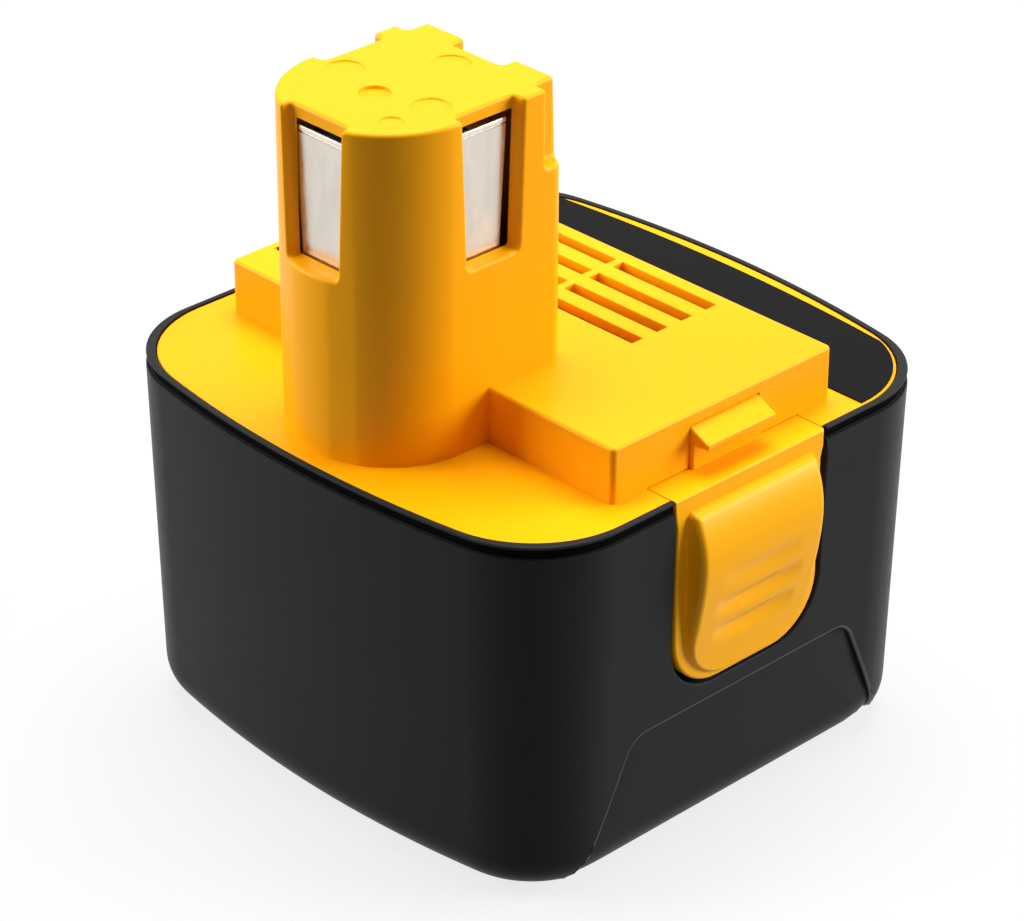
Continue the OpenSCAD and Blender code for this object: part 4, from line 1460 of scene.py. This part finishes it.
@dataclass(frozen=True)
class LatchSpring:
    """Coil spring behind a latch; the real spring shortens along X as the latch goes in."""

    side: Side
    start: float = 35.72
    length: float = 6.86
    mean_radius: float = 2.7
    wire: float = 0.3
    turns: int = 4
    rings: int = 20
    sides: int = 10
    travel: float = 3.5

    def build(self) -> Piece:
        """Models the spring as one tube, with a mesh of its own.

        Returns:
            The spring.
        """
        rings = []
        count = self.turns * self.rings
        run = self.length - 2 * self.wire
        for k in range(count + 1):
            turn = 2 * math.pi * self.turns * k / count
            x = self.start + self.wire + run * k / count
            ring = []
            for along, out in circle(0, 0, self.wire, self.sides):
                radius = self.mean_radius + along
                place = (radius * math.cos(turn), SPRING_HEIGHT + radius * math.sin(turn))
                ring.append((self.side.value * (x + out), *place))
            rings.append(ring)
        name = "latch_spring_" + self.side.word
        spring = Bench.skin(name + "_coil", rings)
        Bench.finish(spring, "pack", name, "spring_wire", SPRING_WIRE, 60.0)
        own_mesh(spring)
        return spring


@dataclass(frozen=True)
class Contact:
    """One contact plate, narrower towards its foot, with a folded head and a tail that leads down."""

    node: str
    half_top: float
    half_sill: float
    tail_foot: float
    tab: float = 0.0
    tab_start: float = 0.3
    tab_levels: Point2 = (0.45, 0.05)
    head: float = 103.45
    fold: float = 102.7
    foot: float = 76.4
    foot_run: float = 0.4
    plate_points: int = 12
    lean: float = 0.1
    lean_power: float = 1.5
    lean_points: int = 5
    crease: float = 0.2
    crease_shares: Point2 = (0.6, 0.5)
    thick: float = 0.4
    tail_half: float = 2.0

    def half(self, z: float) -> float:
        """Gives the plate's half width.

        Args:
            z: Height above the bottom face.

        Returns:
            The half width of the tail or of the plate.
        """
        if z < self.foot - TOUCH:
            return self.tail_half
        share = (min(z, self.fold) - SILL) / (self.fold - SILL)
        return self.half_sill + (self.half_top - self.half_sill) * share

    def section(self) -> list[Point2]:
        """Draws the plate's face from tail to head.

        Returns:
            Points as (distance behind the front plane, height).
        """
        crease, fold, start = self.crease, self.fold, self.fold + self.crease
        under, over = (crease * share for share in self.crease_shares)
        face = [(0.0, self.tail_foot), (0.0, self.foot - self.foot_run), (0.0, self.foot)]
        face += [(0.0, z) for z in spread(self.foot + 1, fold - crease, self.plate_points)]
        face += [(crease, fold - under), (crease, fold), (0.0, fold + over)]
        for share in spread(0.0, 1.0, self.lean_points):
            face.append((self.lean * share**self.lean_power, start + (self.head - start) * share))
        return face

    def build(self, at: Callable[[float, float, float], Point3]) -> Piece:
        """Models the plate and dresses it.

        Args:
            at: Gives the place for a distance behind the front plane, a place across and a height.

        Returns:
            The contact.
        """
        rings = []
        for behind, z in self.section():
            half, back = self.half(z), behind + self.thick
            corners = ((behind, -half), (behind, half), (back, half), (back, -half))
            rings.append([at(depth, across, z) for depth, across in corners])
        plate = Bench.skin(self.node + "_plate", rings)
        if self.tab:
            ends = ((self.tab_start, -self.tail_half), (self.tab, self.tail_half))
            corners = [at(*end, self.head - drop) for end in ends for drop in self.tab_levels]
            low, high = (tuple(pick(axis) for axis in zip(*corners)) for pick in (min, max))
            Bench.join(plate, Bench.box("tab", low, high), Join.ADD)
        Bench.tidy(plate, 10 * FINE_MERGE)
        return Bench.finish(plate, "pack", self.node, "contact_plate", CONTACT_PLATE, 30.0)


@dataclass(frozen=True)
class ContactSet:
    """The three contacts behind the tower's windows, and the planes of their faces."""

    right: Contact = Contact("contact_right", 4.35, 3.1, 53.45, tab=10.25)
    left: Contact = Contact("contact_left", 4.35, 3.1, 46.0)
    front: Contact = Contact("contact_front", 5.3, 4.2, 46.5)
    side_plane: float = 12.55
    front_plane: float = -37.75

    def build(self) -> list[Piece]:
        """Models the contacts in their windows.

        Returns:
            The contacts.
        """
        x, y = self.side_plane, SIDE_WINDOW_Y
        return [
            self.right.build(lambda depth, across, z: (x - depth, y + across, z)),
            self.left.build(lambda depth, across, z: (-x + depth, y - across, z)),
            self.front.build(lambda depth, across, z: (across, self.front_plane + depth, z)),
        ]


@dataclass(frozen=True)
class Labels:
    """The two bare black labels: one on the rear deck, one let into the block."""

    inset: float = 1.6
    front: float = 23.9
    rear: float = 41.5
    rear_bow: float = 290.0
    edge: float = 0.06
    bow_half: float = 50.0
    bow_points: int = 41
    past: float = 5.0
    tag_round: float = 0.8

    def rear_label(self) -> Piece:
        """Makes the label on the rear deck, with a straight front edge and a bowed rear edge.

        Returns:
            The label.
        """
        top = DECK + LABEL_THICK
        low, high = DECK - self.past, top + self.past
        label = Bench.prism("rear_label_film", RIM_OUTLINE.points(self.inset), DECK, top)
        ahead = Bench.box("label_cutter", (-OUTSIDE, -OUTSIDE, low), (OUTSIDE, self.front, high))
        Bench.join(label, ahead, Join.CUT)
        half = self.bow_half
        bow = [(x, self.rear - x * x / (2 * self.rear_bow)) for x in spread(-half, half, self.bow_points)]
        behind = bow + [(half, OUTSIDE), (-half, OUTSIDE)]
        Bench.join(label, Bench.prism("label_cutter", behind, low, high), Join.CUT)
        Bench.tidy(label)
        Bench.bevel(label, self.edge, lambda middle: middle.z > top - TOUCH, segments=2)
        return label

    def build(self) -> list[Piece]:
        """Models both labels and dresses them.

        Returns:
            The labels.
        """
        half_x, half_y = TAG_HALF
        corners = [(TAG_X + sx * half_x, sy * half_y, self.tag_round) for sx, sy in SQUARE]
        rear = self.rear_label()
        tag = Bench.prism("block_label_film", rounded(corners), BLOCK_TOP - LABEL_THICK, BLOCK_TOP)
        return [
            Bench.finish(piece, "pack", node, "label_film", LABEL_FILM)
            for piece, node in ((rear, "rear_label"), (tag, "block_label"))
        ]


@dataclass(frozen=True)
class Insides:
    """Finishes of the CAD nodes that stay as they are, inside the case and in its screw wells."""

    finishes: dict[str, Finish] = field(
        default_factory=lambda: {
            "terminal_holder": CARRIER_BLACK,
            "links_bottom": STRIP_NICKEL,
            "links_top": STRIP_NICKEL,
            "riser_strip": STRIP_NICKEL,
            "negative_strip": STRIP_NICKEL,
            "card_bottom": CARD_FIBRE,
            "card_top": CARD_FIBRE,
            "tower_pad": PAD_FOAM,
            "thermistor": SENSOR_EPOXY,
            "thermal_cutout": CUTOUT_METAL,
            "case_screws": SCREW_STEEL,
        }
    )

    def dress(self) -> None:
        """Gives every node that is still shown its finish."""
        for name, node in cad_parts.items():
            finish = CELL_SLEEVE if name.startswith("cell_") else self.finishes.get(name)
            if finish is None:
                continue
            node.data.materials.clear()
            node.data.materials.append(finish.material())
            LOG.info("%s: %s", name, finish.name)


@dataclass(frozen=True)
class Lamp:
    """A square soft lamp.

    Attributes:
        name: Name of the lamp.
        place: Its place in metres.
        size: Length of its sides in metres.
        power: Its power in watts.
    """

    name: str
    place: Point3
    size: float
    power: float

    def hang(self, target: Point3) -> None:
        """Hangs the lamp and turns it to a target.

        Args:
            target: Place that the lamp points at.
        """
        Bench.clear()
        bpy.ops.object.light_add(type="AREA", location=self.place)
        lamp = bpy.context.active_object
        lamp.name = self.name
        lamp.data.shape = "SQUARE"
        lamp.data.size = self.size
        lamp.data.energy = self.power
        aim = Vector(target) - Vector(self.place)
        lamp.rotation_euler = aim.to_track_quat("-Z", "Y").to_euler()


@dataclass(frozen=True)
class Studio:
    """Camera, floor and soft light, in metres and degrees.

    Attributes:
        eye: Place of the camera.
        azimuth: Direction of the view round the pack.
        elevation: Height of the view.
        roll: Turn of the picture.
        lens: Focal length in millimetres.
        sensor: Width of the sensor in millimetres.
        clip: Nearest and furthest distance that the camera shows.
        fill: Strength of the surround as a light.
        floor_size: Length of the floor's sides.
        floor_fill: Paleness of the floor as it lights the pack.
        floor_shown: Paleness of the floor as it is seen, where it takes the shadow.
        floor_glow: Share of plain white in the floor as it is seen.
        target: Place that the lamps point at.
        lamps: The lamps.
    """

    eye: Point3 = (0.3561, -0.34682, 0.32133)
    azimuth: float = 45.97
    elevation: float = 29.55
    roll: float = 0.25
    lens: float = 138.3
    sensor: float = 36.0
    clip: Point2 = (0.01, 50.0)
    fill: float = 0.055
    floor_size: float = 8.0
    floor_fill: float = 0.23
    floor_shown: float = 0.62
    floor_glow: float = 0.78
    target: Point3 = (0.0, 0.0, 0.05)
    lamps: tuple[Lamp, ...] = (
        Lamp("top_box", (-0.12, 0.14, 0.80), 0.60, 9.5),
        Lamp("left_box", (-0.66, -0.56, 0.36), 0.55, 8.3),
        Lamp("right_box", (0.56, 0.66, 0.36), 0.55, 10.4),
    )

    def camera(self) -> None:
        """Sets the camera at the photograph's place and angle."""
        a, e, roll = (math.radians(v) for v in (self.azimuth, self.elevation, self.roll))
        across = Vector((math.cos(a), math.sin(a), 0))
        back = Vector((math.sin(a) * math.cos(e), -math.cos(a) * math.cos(e), math.sin(e)))
        up = back.cross(across)
        right = across * math.cos(roll) + up * math.sin(roll)
        rise = up * math.cos(roll) - across * math.sin(roll)
        Bench.clear()
        bpy.ops.object.camera_add()
        camera = bpy.context.active_object
        turn = Matrix((right, rise, back)).transposed().to_4x4()
        camera.matrix_world = Matrix.Translation(Vector(self.eye)) @ turn
        camera.data.sensor_fit = "HORIZONTAL"
        camera.data.sensor_width = self.sensor
        camera.data.lens = self.lens
        camera.data.clip_start, camera.data.clip_end = self.clip
        bpy.context.scene.camera = camera

    @staticmethod
    def seen(tree: Tree) -> Socket:
        """Finds the rays that show the surround itself: to the camera, in gloss and through glass.

        Args:
            tree: Node tree that asks.

        Returns:
            A value of 1 for those rays and 0 for the others.
        """
        path = add_node(tree, "LightPath")
        total = path.outputs["Is Camera Ray"]
        for name in ("Is Glossy Ray", "Is Transmission Ray"):
            node = add_node(tree, "Math")
            node.operation = "MAXIMUM"
            tree.links.new(total, node.inputs[0])
            tree.links.new(path.outputs[name], node.inputs[1])
            total = node.outputs["Value"]
        return total

    def world(self) -> None:
        """Makes a white surround for the camera and for reflections, and a softer one for light."""
        world = bpy.data.worlds.new("surround")
        bpy.context.scene.world = world
        world.use_nodes = True
        tree = world.node_tree
        tree.nodes.clear()
        out = add_node(tree, "OutputWorld")
        mix = add_node(tree, "MixShader")
        tree.links.new(self.seen(tree), mix.inputs["Fac"])
        for end, strength in enumerate((self.fill, 1.0), start=1):
            light = add_node(tree, "Background", Color=(1, 1, 1, 1), Strength=strength)
            tree.links.new(light.outputs["Background"], mix.inputs[end])
        tree.links.new(mix.outputs["Shader"], out.inputs["Surface"])

    def floor(self) -> None:
        """Lays the pale floor."""
        Bench.clear()
        bpy.ops.mesh.primitive_plane_add(size=self.floor_size)
        floor = bpy.context.active_object
        floor.name = "studio_floor"
        made = bpy.data.materials.new("pale_floor")
        made.use_nodes = True
        tree = made.node_tree
        tree.nodes.clear()
        out = add_node(tree, "OutputMaterial")
        mix = add_node(tree, "MixShader")
        tree.links.new(self.seen(tree), mix.inputs["Fac"])
        glow = add_node(tree, "Emission", Color=(1, 1, 1, 1), Strength=1.0)
        shown = add_node(tree, "MixShader", Fac=self.floor_glow)
        tree.links.new(glow.outputs["Emission"], shown.inputs[2])
        for pale, end in ((self.floor_fill, mix), (self.floor_shown, shown)):
            shader = add_node(tree, "BsdfDiffuse", Color=(pale, pale, pale, 1))
            tree.links.new(shader.outputs["BSDF"], end.inputs[1])
        tree.links.new(shown.outputs["Shader"], mix.inputs[2])
        tree.links.new(mix.outputs["Shader"], out.inputs["Surface"])
        floor.data.materials.append(made)

    def build(self) -> None:
        """Sets up the studio."""
        bpy.context.scene.view_settings.view_transform = "Standard"
        self.camera()
        self.world()
        for lamp in self.lamps:
            lamp.hang(self.target)
        self.floor()


def main() -> None:
    """Builds every piece in order and reports it."""
    logging.basicConfig(level=logging.INFO, format="%(name)s %(message)s")
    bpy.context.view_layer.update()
    Studio().build()
    LowerCase().build()
    TopCover().build()
    for side in Side:
        Latch(side).build()
        LatchSpring(side).build()
    ContactSet().build()
    Labels().build()
    Insides().dress()


if __name__ == "__main__":
    main()
